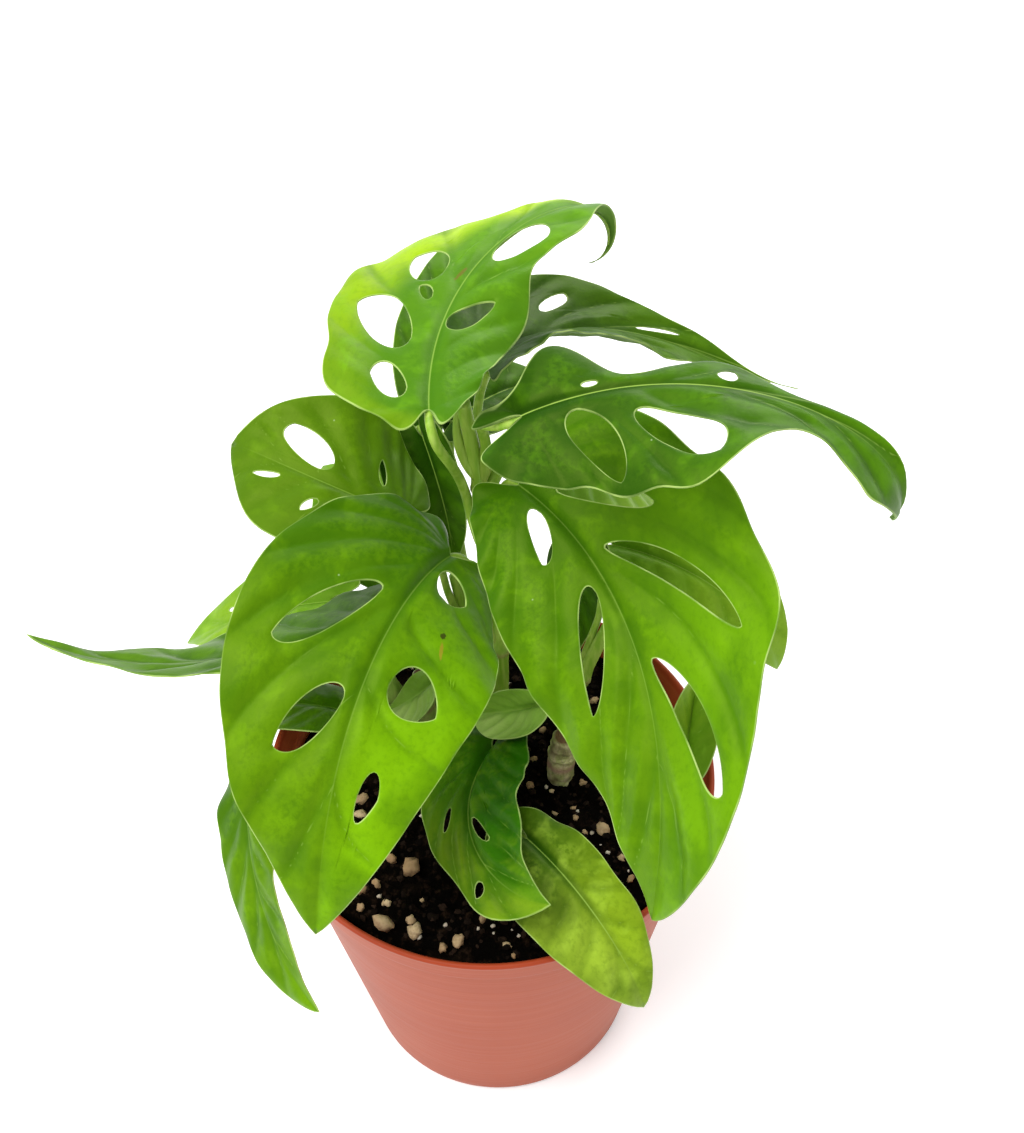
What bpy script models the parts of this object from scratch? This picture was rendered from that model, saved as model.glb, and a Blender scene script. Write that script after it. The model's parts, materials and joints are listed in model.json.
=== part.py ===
"""Swiss cheese vine with pierced leaves, in its round plastic nursery pot.

Frame: +Z up, origin at the middle of the pot's underside, -Y towards the viewer.
Lengths in the tables of a leaf or a stem are millimetres, angles are degrees.
Every leaf is one blade with its stalk and rib; stems and stalks stand in plain holes in the soil.
"""
import math

import bpy
import numpy as np
from mathutils import Vector

MM = 0.001

# Pot
POT_HEIGHT = 112.0
LIP_RADIUS = 60.0
COLLAR_HEIGHT = 9.3
COLLAR_FOOT_RADIUS = 58.4
BODY_TOP_RADIUS = 56.4
BASE_RADIUS = 41.0
WALL = 1.4
FLOOR = 3.0
NOTCHES = 6
NOTCH_WIDTH = 22.0
NOTCH_PHASE = -0.454
NOTCH_HEIGHT = 1.5
NOTCH_INNER_RADIUS = 34.0
DRAIN_RADIUS = 3.0
POT_SIDES = 40

# Soil
SOIL_TOP = 103.0
SOIL_RELIEF = 1.3
SOIL_HOLE_DEPTH = 12.0
GAP = 0.3

# Rolled sheath and cut stalk on the main stem: curve controls and radii
SHEATH = ((-0.8, 26.0, 194.0), (-3.3, 26.3, 198.5), (-5.8, 26.8, 206.0), (-4.3, 27.0, 216.0))
SHEATH_RADII = (1.2, 1.4, 1.5, 1.5, 1.4, 1.1, 0.8, 0.4)
STUB = ((0.3, 26.2, 186.0), (2.3, 27.2, 189.0), (5.0, 28.6, 194.0), (6.2, 29.2, 200.0))
STUB_RADII = (1.5, 1.9, 2.0, 2.0, 1.9)

# Leaves
BLADE = 0.6
RIB_SINK = 0.45
STALK_CLEARANCE = 0.6
STALK_STEPS = 8
STALK_SIDES = 5
FAN_END = 0.25
EDGE_PLACES = (0.30, 0.42, 0.54, 0.66, 0.78, 0.90)
EDGE_REACH = 0.07

# Colours, linear RGB
POT_COLOUR = (0.45, 0.135, 0.085)
SOIL_COLOUR = (0.012, 0.010, 0.008)
LEAF_COLOUR = (0.075, 0.27, 0.012)
PALE_LEAF_COLOUR = (0.20, 0.42, 0.05)
DARK_LEAF_COLOUR = (0.035, 0.15, 0.012)
STEM_COLOUR = (0.17, 0.30, 0.04)
CANE_COLOUR = (0.36, 0.38, 0.16)


def clear_scene():
    for old in list(bpy.data.objects):
        bpy.data.objects.remove(old, do_unlink=True)


def material(name, colour, roughness):
    """Principled material with one colour and one roughness."""
    mat = bpy.data.materials.new(name)
    mat.use_nodes = True
    shader = mat.node_tree.nodes["Principled BSDF"]
    shader.inputs["Base Color"].default_value = (*colour, 1.0)
    shader.inputs["Roughness"].default_value = roughness
    shader.inputs["Metallic"].default_value = 0.0
    return mat


def add_object(name, points, faces, mat, place=(0.0, 0.0, 0.0), smooth=True):
    """Mesh object from points in millimetres, kept relative to its own place."""
    place = np.array(place, float)
    metres = (np.asarray(points, float) - place) * MM
    mesh = bpy.data.meshes.new(name)
    mesh.from_pydata(metres.tolist(), [], [list(map(int, face)) for face in faces])
    mesh.validate()
    mesh.update()
    if smooth:
        mesh.shade_smooth()
        mesh.set_sharp_from_angle(angle=math.radians(35))
    obj = bpy.data.objects.new(name, mesh)
    obj.location = Vector(place * MM)
    obj.data.materials.append(mat)
    bpy.context.scene.collection.objects.link(obj)
    return obj


def apply_boolean(obj, others, operation, solver="EXACT"):
    """One Boolean of obj with a collection of other objects, applied; the others are then removed."""
    group = bpy.data.collections.new(obj.name + "_with")
    bpy.context.scene.collection.children.link(group)
    for other in others:
        bpy.context.scene.collection.objects.unlink(other)
        group.objects.link(other)
    mod = obj.modifiers.new("join", "BOOLEAN")
    mod.operand_type = "COLLECTION"
    mod.collection = group
    mod.operation = operation
    mod.solver = solver
    bpy.context.view_layer.update()
    graph = bpy.context.evaluated_depsgraph_get()
    mesh = bpy.data.meshes.new_from_object(obj.evaluated_get(graph))
    obj.modifiers.clear()
    obj.data = mesh
    for other in others:
        bpy.data.objects.remove(other, do_unlink=True)
    bpy.data.collections.remove(group)
    return obj


# Turned shapes


def turned(profile, sides):
    """Points and faces of a closed profile (radius, height) turned about Z; radius 0 becomes one point."""
    angles = np.arange(sides) * (2 * np.pi / sides)
    points = []
    rings = []
    for radius, height in profile:
        if radius == 0.0:
            rings.append([len(points)] * sides)
            points.append((0.0, 0.0, height))
        else:
            rings.append(list(range(len(points), len(points) + sides)))
            points.extend((radius * math.cos(a), radius * math.sin(a), height) for a in angles)
    faces = []
    for lower, upper in zip(rings[:-1], rings[1:]):
        for i in range(sides):
            k = (i + 1) % sides
            face = [lower[i], lower[k], upper[k], upper[i]]
            face = [v for n, v in enumerate(face) if v not in face[:n]]
            faces.append(face)
    return points, faces


def build_pot(mat):
    """Thin tapered wall with a stepped collar, a floor, notches under the foot and drain holes."""
    step = POT_HEIGHT - COLLAR_HEIGHT
    profile = [
        (0.0, 0.0),
        (BASE_RADIUS - 1.2, 0.0),
        (BASE_RADIUS, 1.2),
        (BODY_TOP_RADIUS, step - 0.6),
        (COLLAR_FOOT_RADIUS, step + 0.5),
        (LIP_RADIUS - 0.5, POT_HEIGHT - 1.6),
        (LIP_RADIUS, POT_HEIGHT - 1.0),
        (LIP_RADIUS - 0.3, POT_HEIGHT - 0.2),
        (LIP_RADIUS - 0.8, POT_HEIGHT),
        (LIP_RADIUS - 1.5, POT_HEIGHT - 0.4),
        (COLLAR_FOOT_RADIUS - WALL, step + 1.0),
        (BODY_TOP_RADIUS - WALL, step - 1.6),
        (BASE_RADIUS - WALL + 0.4, FLOOR),
        (0.0, FLOOR),
    ]
    points, faces = turned(profile, POT_SIDES)
    pot = add_object("pot", points, faces, mat)
    cutters = []
    for i in range(NOTCHES):
        angle = 2 * math.pi * (i + 0.5) / NOTCHES - math.pi / 2 + NOTCH_PHASE
        cutters.append(notch_cutter(angle))
        cutters.append(drain_cutter(angle))
    return apply_boolean(pot, cutters, "DIFFERENCE")


def notch_cutter(angle):
    """Low block that opens the foot from the inside ring to the outer edge."""
    inner = NOTCH_INNER_RADIUS
    outer = BASE_RADIUS + 4.0
    half = NOTCH_WIDTH / 2
    corners = [(inner, -half), (outer, -half), (outer, half), (inner, half)]
    points = []
    for height in (-2.0, NOTCH_HEIGHT):
        for along, across in corners:
            x = along * math.cos(angle) - across * math.sin(angle)
            y = along * math.sin(angle) + across * math.cos(angle)
            points.append((x, y, height))
    faces = [(3, 2, 1, 0), (4, 5, 6, 7), (0, 1, 5, 4), (1, 2, 6, 5), (2, 3, 7, 6), (3, 0, 4, 7)]
    return add_object("notch", points, faces, None, smooth=False)


def drain_cutter(angle):
    """Round drain hole through the floor, inside the notch."""
    radius = NOTCH_INNER_RADIUS + DRAIN_RADIUS - 2.0
    centre = (radius * math.cos(angle), radius * math.sin(angle))
    return upright_cutter("drain", centre, DRAIN_RADIUS, -2.0, FLOOR + 2.0, 10)


def upright_cutter(name, centre, radius, low, high, sides):
    points, faces = turned([(0.0, low), (radius, low), (radius, high), (0.0, high)], sides)
    points = [(x + centre[0], y + centre[1], z) for x, y, z in points]
    return add_object(name, points, faces, None, smooth=False)


def soil_height(x, y):
    """Uneven top of the mix: a few slow swells and finer lumps, level towards the wall."""
    r = math.hypot(x, y)
    calm = max(0.0, 1.0 - (r / 56.0) ** 6)
    swell = math.sin(0.11 * x + 1.3) * math.cos(0.13 * y - 0.4) + 0.7 * math.sin(0.23 * x - 0.19 * y)
    lumps = 0.6 * math.sin(0.61 * x + 0.9) * math.sin(0.57 * y + 0.3)
    return SOIL_TOP + SOIL_RELIEF * calm * (0.6 * swell + lumps)


def build_soil(mat, roots):
    """Potting mix as one solid that fills the pot, with a plain hole for each stem and stalk."""
    sides = 30
    low = FLOOR + GAP
    wall_low = BASE_RADIUS - WALL + 0.4 - GAP - 0.4
    wall_high = BODY_TOP_RADIUS - WALL - GAP - 0.25
    step = POT_HEIGHT - COLLAR_HEIGHT - 1.6
    profile = [(0.0, low), (wall_low, low), (wall_high, step - 0.6), (wall_high + 0.3, SOIL_TOP - 0.2)]
    profile += [(r, SOIL_TOP) for r in (50.0, 42.0, 34.0, 26.0, 18.0, 9.0)]
    profile += [(0.0, SOIL_TOP)]
    points, faces = turned(profile, sides)
    points = [(x, y, soil_height(x, y) if z == SOIL_TOP else z) for x, y, z in points]
    soil = add_object("soil", points, faces, mat)
    holes = []
    for x, y, radius in roots:
        bottom = SOIL_TOP - SOIL_HOLE_DEPTH
        holes.append(upright_cutter("hole", (x, y), radius + GAP + 0.15, bottom, SOIL_TOP + 8.0, 10))
    return apply_boolean(soil, holes, "DIFFERENCE")


# Stems and stalks


def bezier(points, count):
    """Even steps along one cubic Bezier curve."""
    a, b, c, d = (np.array(p, float) for p in points)
    t = np.linspace(0.0, 1.0, count)[:, None]
    return a * (1 - t) ** 3 + 3 * b * t * (1 - t) ** 2 + 3 * c * t ** 2 * (1 - t) + d * t ** 3


def tube(path, radii, sides):
    """Closed tube along a path: rings carried along with the least turning, and flat ends."""
    path = np.asarray(path, float)
    radii = np.asarray(radii, float)
    along = np.gradient(path, axis=0)
    along /= np.linalg.norm(along, axis=1)[:, None]
    start = np.array([1.0, 0.0, 0.0]) if abs(along[0][0]) < 0.8 else np.array([0.0, 1.0, 0.0])
    across = np.cross(along[0], start)
    across /= np.linalg.norm(across)
    angles = np.arange(sides) * (2 * np.pi / sides)
    points = []
    for centre, direction, radius in zip(path, along, radii):
        across = across - direction * np.dot(across, direction)
        across /= np.linalg.norm(across)
        other = np.cross(direction, across)
        ring = centre + radius * (np.cos(angles)[:, None] * across + np.sin(angles)[:, None] * other)
        points.extend(ring.tolist())
    faces = [list(range(sides))[::-1]]
    for i in range(len(path) - 1):
        for k in range(sides):
            n = (k + 1) % sides
            low = i * sides
            faces.append([low + k, low + n, low + sides + n, low + sides + k])
    last = (len(path) - 1) * sides
    faces.append([last + k for k in range(sides)])
    return points, faces


class Stem:
    """Climbing stem: upright in its soil hole, then one cubic curve; radius in millimetres."""

    def __init__(self, name, root, controls, radius, top_radius, knots=()):
        self.name = name
        self.root = root
        self.radius = radius
        self.top_radius = top_radius
        self.knots = knots
        foot = (root[0], root[1], SOIL_TOP + 1.0)
        self.curve = bezier([foot, *controls], 41)

    def at(self, height):
        """Centre and direction of the stem at a height."""
        i = int(np.clip(np.searchsorted(self.curve[:, 2], height), 1, len(self.curve) - 1))
        low, high = self.curve[i - 1], self.curve[i]
        f = (height - low[2]) / (high[2] - low[2])
        return low + (high - low) * f, (high - low) / np.linalg.norm(high - low)

    def radius_at(self, height):
        span = self.curve[-1][2] - self.curve[0][2]
        f = np.clip((height - self.curve[0][2]) / span, 0.0, 1.0)
        swell = sum(0.5 * math.exp(-((height - k) / 2.2) ** 2) for k in self.knots)
        return self.radius + (self.top_radius - self.radius) * f + swell

    def mesh(self, sides=8, steps=12):
        bottom = SOIL_TOP - SOIL_HOLE_DEPTH + GAP
        heights = list(np.linspace(self.curve[0][2], self.curve[-1][2], steps))
        for k in self.knots:
            heights += [k - 2.6, k, k + 2.6]
        heights = sorted(heights)
        path = [(self.root[0], self.root[1], bottom)]
        radii = [self.radius]
        last = None
        for height in heights:
            if last is not None and height - last < 1.2:
                continue
            last = height
            path.append(tuple(self.at(height)[0]))
            radii.append(self.radius_at(height))
        return tube(path, radii, sides)


def main_stem():
    controls = [(6, 17, 140), (2, 32, 175), (-3, 24, 219)]
    return Stem("stem_main", (2.0, 18.0), controls, 2.4, 1.7, (118, 136, 190))


def left_stem():
    controls = [(-14, 28, 120), (-18, 27, 135), (-20, 28, 150)]
    return Stem("stem_left", (-14.0, 30.0), controls, 2.1, 1.6, (120, 146))


def back_stem():
    controls = [(-4, 42, 116), (-6, 44, 126), (-8, 47, 137)]
    return Stem("stem_back", (-4.0, 42.0), controls, 2.1, 1.7, (107,))


def right_stem():
    controls = [(22, 17, 116), (27, 20, 128), (36, 24, 148)]
    return Stem("stem_right", (21.0, 16.0), controls, 2.2, 1.6, (112, 124))


def build_stems(mat, cane_mat):
    """Four stems, one with a rolled sheath and a cut stalk on it, and three cut stumps."""
    stems = [main_stem(), left_stem(), back_stem(), right_stem()]
    made = {}
    for stem in stems:
        points, faces = stem.mesh()
        made[stem.name] = add_object(stem.name, points, faces, mat)
    points, faces = tube(bezier(SHEATH, len(SHEATH_RADII)), SHEATH_RADII, 7)
    parts = [add_object("sheath", points, faces, mat)]
    points, faces = tube(bezier(STUB, len(STUB_RADII)), STUB_RADII, 7)
    parts.append(add_object("stub", points, faces, mat))
    apply_boolean(made["stem_main"], parts, "UNION")
    build_stump("cut_stalk_left", (-24.0, 22.0), 3.0, (-4, -2, 22), mat)
    build_stump("cut_stalk_middle", (-17.0, 20.0), 2.6, (-1, -1, 24), mat)
    build_stump("old_cane", (19.0, 3.0), 3.6, (1, 1, 13), cane_mat)
    return stems


STUMPS = ((-24.0, 22.0, 3.0), (-17.0, 20.0, 2.6), (19.0, 3.0, 3.6))


def build_stump(name, root, radius, reach, mat):
    """Cut-off stalk or cane: upright in its hole, then leaning by reach to a flat cut end."""
    bottom = SOIL_TOP - SOIL_HOLE_DEPTH + GAP
    foot = np.array([root[0], root[1], SOIL_TOP + 1.0])
    path = [(root[0], root[1], bottom)]
    radii = [radius]
    for f, swell in ((0.0, 1.0), (0.3, 0.93), (0.55, 1.0), (0.8, 0.9), (1.0, 0.92)):
        path.append(tuple(foot + np.array(reach, float) * np.array([f ** 1.5, f ** 1.5, f])))
        radii.append(radius * swell)
    points, faces = tube(path, radii, 8)
    return add_object(name, points, faces, mat)


# Leaf blades


class Leaf:
    """One blade with its stalk.

    joint: where the stalk meets the blade; heading, rise, bank: direction of the rib and roll about it
    there; turn, arch, twist: how much each changes evenly along the rib; snap: extra bend at the tip.
    length: joint to tip; left, right: half widths; lobe: how far the blade reaches behind the joint;
    fold: lift of both halves from flat; curl: how far each half bends back down; peak: where it is
    widest; taper: narrowing near the tip; left_edge, right_edge: small in and out steps of the margin
    at EDGE_PLACES; waves: size, count and phase of a ripple towards the margin.
    holes: (side, place and reach of the inner end, the same of the outer end, opening back, forward);
    places run 0 at the joint to 1 at the tip, reaches run 0 at the rib to 1 at the margin.
    stalk: ("stem", stem, height, facing, pull, lift, rib share) or ("soil", place, pull, lift, share);
    facing is the side of the stem in degrees, pull and lift bend the stalk as it leaves the blade,
    and the share of the rib is how far the stalk runs on under the blade.
    """

    def __init__(self, name, joint, heading, rise, bank, turn, arch, twist, snap,
                 length, left, right, lobe, fold, curl, peak, taper,
                 left_edge=(), right_edge=(), holes=(), waves=(0.0, 0.0, 0.0),
                 stalk=None, stalk_radius=1.3, rows=12, columns=5, tone="leaf"):
        self.name = name
        self.joint = np.array(joint, float)
        self.heading, self.rise, self.bank = heading, rise, bank
        self.turn, self.arch, self.twist, self.snap = turn, arch, twist, snap
        self.length, self.left, self.right, self.lobe = length, left, right, lobe
        self.fold, self.curl, self.peak, self.taper = fold, curl, peak, taper
        self.edges = {-1: left_edge, 1: right_edge}
        self.holes = holes
        self.waves = waves
        self.stalk = stalk
        self.stalk_radius = stalk_radius
        self.rows, self.columns = rows, columns
        self.tone = tone
        self.make_rib()

    def make_rib(self, count=64):
        """Rib points and the two directions square to it, in even steps of length."""
        u = np.linspace(0.0, 1.0, count + 1)
        heading = np.radians(self.heading + self.turn * u)
        rise = np.radians(self.rise + self.arch * u + self.snap * u ** 8)
        bank = np.radians(self.bank + self.twist * u)[:, None]
        along = np.stack([np.cos(rise) * np.cos(heading), np.cos(rise) * np.sin(heading), np.sin(rise)], 1)
        up = np.stack([-np.sin(rise) * np.cos(heading), -np.sin(rise) * np.sin(heading), np.cos(rise)], 1)
        side = np.cross(along, up)
        middle = (along[1:] + along[:-1]) / 2 * (self.length / count)
        points = np.concatenate([np.zeros((1, 3)), np.cumsum(middle, axis=0)]) + self.joint
        across = side * np.cos(bank) + up * np.sin(bank)
        self.rib = (u, points, along, across, up * np.cos(bank) - side * np.sin(bank))

    def rib_at(self, x):
        u, *rest = self.rib
        s = np.clip(x / self.length, 0.0, 1.0)
        return [np.stack([np.interp(s, u, a[:, k]) for k in range(3)], -1) for a in rest]

    def width(self, side):
        return self.left if side < 0 else self.right

    def outline(self, t, side):
        """Margin of the flat blade: distance along the rib and out from it."""
        along = -self.lobe * (1 - np.exp(-(t / 0.07) ** 2))
        along = along + (self.length + self.lobe) * (1 - np.cos(np.pi * t / 2))
        out = self.width(side) * np.sin(np.pi * np.clip(t, 0, 1) ** self.peak) ** 0.85
        out = out * (1 - self.taper * t ** 6)
        for place, step in zip(EDGE_PLACES, self.edges[side]):
            out = out + step * np.exp(-((t - place) / EDGE_REACH) ** 2)
        return along, out

    def flat(self, t, b, side):
        """Flat place of row t and reach b: rows fan out from the joint, then leave the rib one by one."""
        rib = self.length * np.clip((t - FAN_END) / (1 - FAN_END), 0, 1) ** 1.9
        along, out = self.outline(t, side)
        return rib + (along - rib) * b ** 1.35, out * b

    def surface(self, t, b, side):
        """Bent place of a point of the blade's middle surface."""
        x, y = self.flat(t, b, side)
        return self.bend(x, y, side, t, b)

    def bend(self, x, y, side, t, b):
        """Each half is a shallow arc: it leaves the rib at the fold angle and curls back towards the margin."""
        point, along, across, up = self.rib_at(x)
        point = point + along * np.minimum(x, 0.0)[..., None]
        angle = np.radians(self.fold - 0.5 * self.curl * y / self.width(side))
        size, count, phase = self.waves
        ripple = size * b ** 2 * np.sin(2 * np.pi * count * t + phase + side) * np.sin(np.pi * t)
        return (point + across * (side * y * np.cos(angle))[..., None]
                + up * (y * np.sin(angle) + ripple)[..., None])

    def normal(self, t, b, side):
        """Upward normal from small steps over the flat blade."""
        x, y = self.flat(t, b, side)
        step = 0.05
        dx = self.bend(x + step, y, side, t, b) - self.bend(x - step, y, side, t, b)
        dy = self.bend(x, y + step, side, t, b) - self.bend(x, y, side, t, b)
        n = np.cross(dx, dy) * side
        n = -n / np.linalg.norm(n, axis=-1)[..., None]
        at_rib = (b <= 0.0)[..., None]
        return np.where(at_rib, self.rib_at(x)[3], n)

    def slits(self, side, rows, columns):
        """Holes of one side as slits: row, first and last column, and their places, in order."""
        found = []
        last = 0
        for hole in sorted((h for h in self.holes if h[0] == side), key=lambda h: h[1] + h[3]):
            _, t_in, b_in, t_out, b_out, back, front = hole
            row = min(max(int(round((t_in + t_out) / 2 * rows)), last + 2), rows - 2)
            last = row
            first = max(1, int(round(b_in * columns)))
            end = min(columns - 1, int(round(b_out * columns)))
            if end - first < 2:
                first = max(1, end - 2)
                end = first + 2
            found.append((row, first, end, t_in, b_in, t_out, b_out, back, front))
        return found

    def side_grid(self, side, rows, columns):
        """Places (t, b) before and after each row: they differ only inside an opened slit."""
        even = np.arange(columns + 1) / columns
        keys = [(0, np.zeros(columns + 1), np.zeros(columns + 1), even)]
        for row, first, end, t_in, b_in, t_out, b_out, back, front in self.slits(side, rows, columns):
            reach = np.interp(np.arange(columns + 1), [0, first, end, columns], [0, b_in, b_out, 1])
            place = np.interp(reach, [0, b_in, b_out, 1], [row / rows, t_in, t_out, t_out])
            u = np.clip((reach - b_in) / (b_out - b_in), 0, 1)
            shape = u ** 0.55 * (1 - u) ** 0.75
            shape = shape / 0.41
            keys.append((row, place - back * shape, place + front * shape, reach))
        keys.append((rows, np.ones(columns + 1), np.ones(columns + 1), even))
        before = np.zeros((rows + 1, columns + 1))
        after = np.zeros((rows + 1, columns + 1))
        reach = np.zeros((rows + 1, columns + 1))
        for (row, _, start, b0), (end, stop, _, b1) in zip(keys[:-1], keys[1:]):
            for i in range(row, end + 1):
                f = (i - row) / (end - row)
                t = start + (stop - start) * f
                if i > row:
                    before[i] = t
                if i < end:
                    after[i] = t
                reach[i] = b0 + (b1 - b0) * f
        before[0] = after[0]
        after[rows] = before[rows]
        return before, after, reach

    def sheet(self, rows, columns):
        """Triangles of the middle surface of both halves, with open holes."""
        t_all, b_all, s_all = [0.0, 1.0], [0.0, 0.0], [1, 1]
        index = {"joint": 0, "tip": 1}
        triangles = []

        def vertex(key, t, b, side):
            if key not in index:
                index[key] = len(t_all)
                t_all.append(float(t))
                b_all.append(float(b))
                s_all.append(side)
            return index[key]

        for side in (-1, 1):
            before, after, reach = self.side_grid(side, rows, columns)
            slits = {(s[0], k) for s in self.slits(side, rows, columns) for k in range(s[1] + 1, s[2])}

            def name(i, k, late):
                if i == 0 or (k == 0 and i / rows <= FAN_END):
                    return vertex("joint", 0, 0, 1)
                if i == rows:
                    return vertex("tip", 1, 0, 1)
                if k == 0:
                    return vertex(("rib", i), i / rows, 0.0, 1)
                if (i, k) in slits:
                    t = after[i, k] if late else before[i, k]
                    return vertex((side, i, k, late), t, reach[i, k], side)
                return vertex((side, i, k), before[i, k], reach[i, k], side)

            for i in range(rows):
                for k in range(columns):
                    a, b = name(i, k, True), name(i, k + 1, True)
                    d, c = name(i + 1, k, False), name(i + 1, k + 1, False)
                    for tri in ((a, b, c), (a, c, d)):
                        if len(set(tri)) == 3:
                            triangles.append(tri if side > 0 else tri[::-1])
        t_all, b_all, s_all = np.array(t_all), np.array(b_all), np.array(s_all)
        points = np.zeros((len(t_all), 3))
        normals = np.zeros((len(t_all), 3))
        for side in (-1, 1):
            pick = s_all == side
            points[pick] = self.surface(t_all[pick], b_all[pick], side)
            normals[pick] = self.normal(t_all[pick], b_all[pick], side)
        return points, normals, triangles

    def blade(self):
        """Closed blade: the sheet on both faces, split alike, and a wall round every edge."""
        points, normals, triangles = self.sheet(self.rows, self.columns)
        count = len(points)
        solid = np.concatenate([points + normals * BLADE / 2, points - normals * BLADE / 2])
        faces = [list(t) for t in triangles] + [[t[2] + count, t[1] + count, t[0] + count] for t in triangles]
        edges = {}
        for a, b, c in triangles:
            for edge in ((a, b), (b, c), (c, a)):
                edges[edge] = True
        for a, b in edges:
            if (b, a) not in edges:
                faces.append([b, a, a + count])
                faces.append([b, a + count, b + count])
        return solid, faces

    def stalk_path(self, stems):
        """Stalk from under the rib, through the joint, down to a stem's flank or into the soil."""
        kind = self.stalk[0]
        radius = self.stalk_radius
        if kind == "stem":
            _, name, height, facing, pull, lift, rib_share = self.stalk
            stem = stems[name]
            out = np.array([math.cos(math.radians(facing)), math.sin(math.radians(facing)), 0.0])
            centre, direction = stem.at(height)
            low, _ = stem.at(height - 9)
            offset = stem.radius_at(height) + radius + STALK_CLEARANCE
            root = centre + out * offset
            run = [low + out * offset]
        else:
            _, place, pull, lift, rib_share = self.stalk
            direction = np.array([0.0, 0.0, 1.0])
            root = np.array([place[0], place[1], SOIL_TOP + 2.0])
            run = [np.array([place[0], place[1], SOIL_TOP - SOIL_HOLE_DEPTH + GAP])]
        under = [self.rib_at(np.array(s * self.length)) for s in (rib_share, rib_share * 0.6, rib_share * 0.25)]
        path = [u[0] - u[3] * RIB_SINK for u in under]
        point, along, _, up = self.rib_at(np.array(0.0))
        start = point - up * RIB_SINK
        distance = np.linalg.norm(start - root)
        first = start - along * distance * pull + np.array([0.0, 0.0, lift])
        second = root + direction * distance * 0.4
        curve = bezier([start, first, second, root], STALK_STEPS)
        path = path + list(curve) + run
        radii = [0.42, 0.5, 0.7] + list(np.linspace(0.9, 1.0, STALK_STEPS) * radius) + [radius]
        radii[3] = 0.75 * radius
        return np.array(path), np.array(radii)

    def build(self, mats, stems):
        points, faces = self.blade()
        obj = add_object(self.name, points, faces, mats[self.tone], tuple(self.joint))
        if self.stalk:
            path, radii = self.stalk_path(stems)
            points, faces = tube(path, radii, STALK_SIDES)
            stalk = add_object(self.name + "_stalk", points, faces, mats[self.tone], tuple(self.joint))
            apply_boolean(obj, [stalk], "UNION")
        return obj


# The leaves, roughly from the front to the back. Left and right are as seen along the rib from the joint.


def leaf_top_left():
    return Leaf(
        "leaf_top_left", joint=(-10.3, 12.4, 227.3),
        heading=91, rise=9, bank=-4.5, turn=-74, arch=-17, twist=26, snap=-181,
        length=118, left=30.5, right=17, lobe=7, fold=1, curl=13, peak=1.4, taper=0.82,
        left_edge=(4.8, 0, 1, 0, -6.6, -2.9), right_edge=(1, 0, 1, -2.7, 3.9, -1.7),
        holes=(
            (-1, 0.68, 0.24, 0.675, 0.68, 0.03, 0.03), (-1, 0.54, 0.2, 0.545, 0.74, 0.05, 0.055),
            (-1, 0.39, 0.2, 0.39, 0.54, 0.06, 0.06), (-1, 0.635, 0.18, 0.64, 0.33, 0.012, 0.012),
            (1, 0.6, 0.05, 0.605, 0.62, 0.04, 0.015), (1, 0.775, 0.06, 0.76, 0.66, 0.05, 0.045),
        ),
        waves=(4.0, 1.5, 5.2),
        stalk=("stem", "stem_main", 181, 165, 0.3, 0, 0.55),
        rows=15, columns=5,
    )


def leaf_right_long():
    return Leaf(
        "leaf_right_long", joint=(9.3, 2.6, 232.9),
        heading=10.5, rise=19, bank=-16.5, turn=-49.5, arch=-50, twist=26, snap=-94,
        length=98, left=8, right=27, lobe=13.5, fold=8, curl=10, peak=1.22, taper=0.66,
        left_edge=(-3, 7.4, -4.6, 2.4, -2.5, 1.9), right_edge=(-0.8, -2.1, 1.2, 3.6, -8.6, 6.1),
        holes=(
            (1, 0.49, 0.14, 0.505, 0.87, 0.055, 0.05), (1, 0.615, 0.24, 0.69, 0.84, 0.045, 0.05),
            (-1, 0.73, 0.3, 0.71, 0.7, 0.015, 0.01), (-1, 0.51, 0.3, 0.515, 0.55, 0.012, 0.012),
        ),
        waves=(3.5, 1.5, 5.8),
        stalk=("stem", "stem_main", 206, -20, 0.35, 0, 0.55),
        rows=13, columns=5, tone="dark",
    )


def leaf_front_right():
    return Leaf(
        "leaf_front_right", joint=(9, 18.5, 198),
        heading=-47, rise=-2, bank=-31, turn=-60, arch=-52, twist=-20, snap=-18,
        length=113, left=36.5, right=27.5, lobe=11, fold=12, curl=10, peak=1.32, taper=0,
        left_edge=(0, 0, 0, 1, -1, 1), right_edge=(0, 0, 0, 0, 0, 0),
        holes=(
            (1, 0.46, 0.08, 0.53, 0.36, 0.06, 0.04), (1, 0.65, 0.11, 0.77, 0.62, 0.05, 0.03),
            (-1, 0.6, 0.12, 0.71, 0.81, 0.02, 0.03), (-1, 0.76, 0.11, 0.85, 0.83, 0.02, 0.04),
            (-1, 0.45, 0.14, 0.56, 0.55, 0.04, 0.04),
        ),
        stalk=("stem", "stem_main", 174, -10, 0.3, 0, 0.55),
        rows=13, columns=5,
    )


def leaf_front_left():
    return Leaf(
        "leaf_front_left", joint=(-7.5, 15, 178.5),
        heading=-119, rise=28, bank=33, turn=14, arch=-108, twist=-29, snap=22,
        length=107, left=28, right=34, lobe=9.5, fold=0, curl=15, peak=1.28, taper=0.1,
        left_edge=(0, 0, 0, 0, 0, 1), right_edge=(0, 0, 0, 0, 0, -1),
        holes=(
            (1, 0.59, 0.18, 0.67, 0.72, 0.03, 0.05), (1, 0.76, 0.11, 0.8, 0.62, 0.03, 0.03),
            (-1, 0.72, 0.22, 0.7, 0.7, 0.05, 0.03), (-1, 0.85, 0.33, 0.84, 0.57, 0.03, 0.03),
            (-1, 0.46, 0.08, 0.44, 0.46, 0.06, 0.06),
        ),
        stalk=("stem", "stem_main", 152, 200, 0.3, 0, 0.55),
        rows=13, columns=5,
    )


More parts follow.
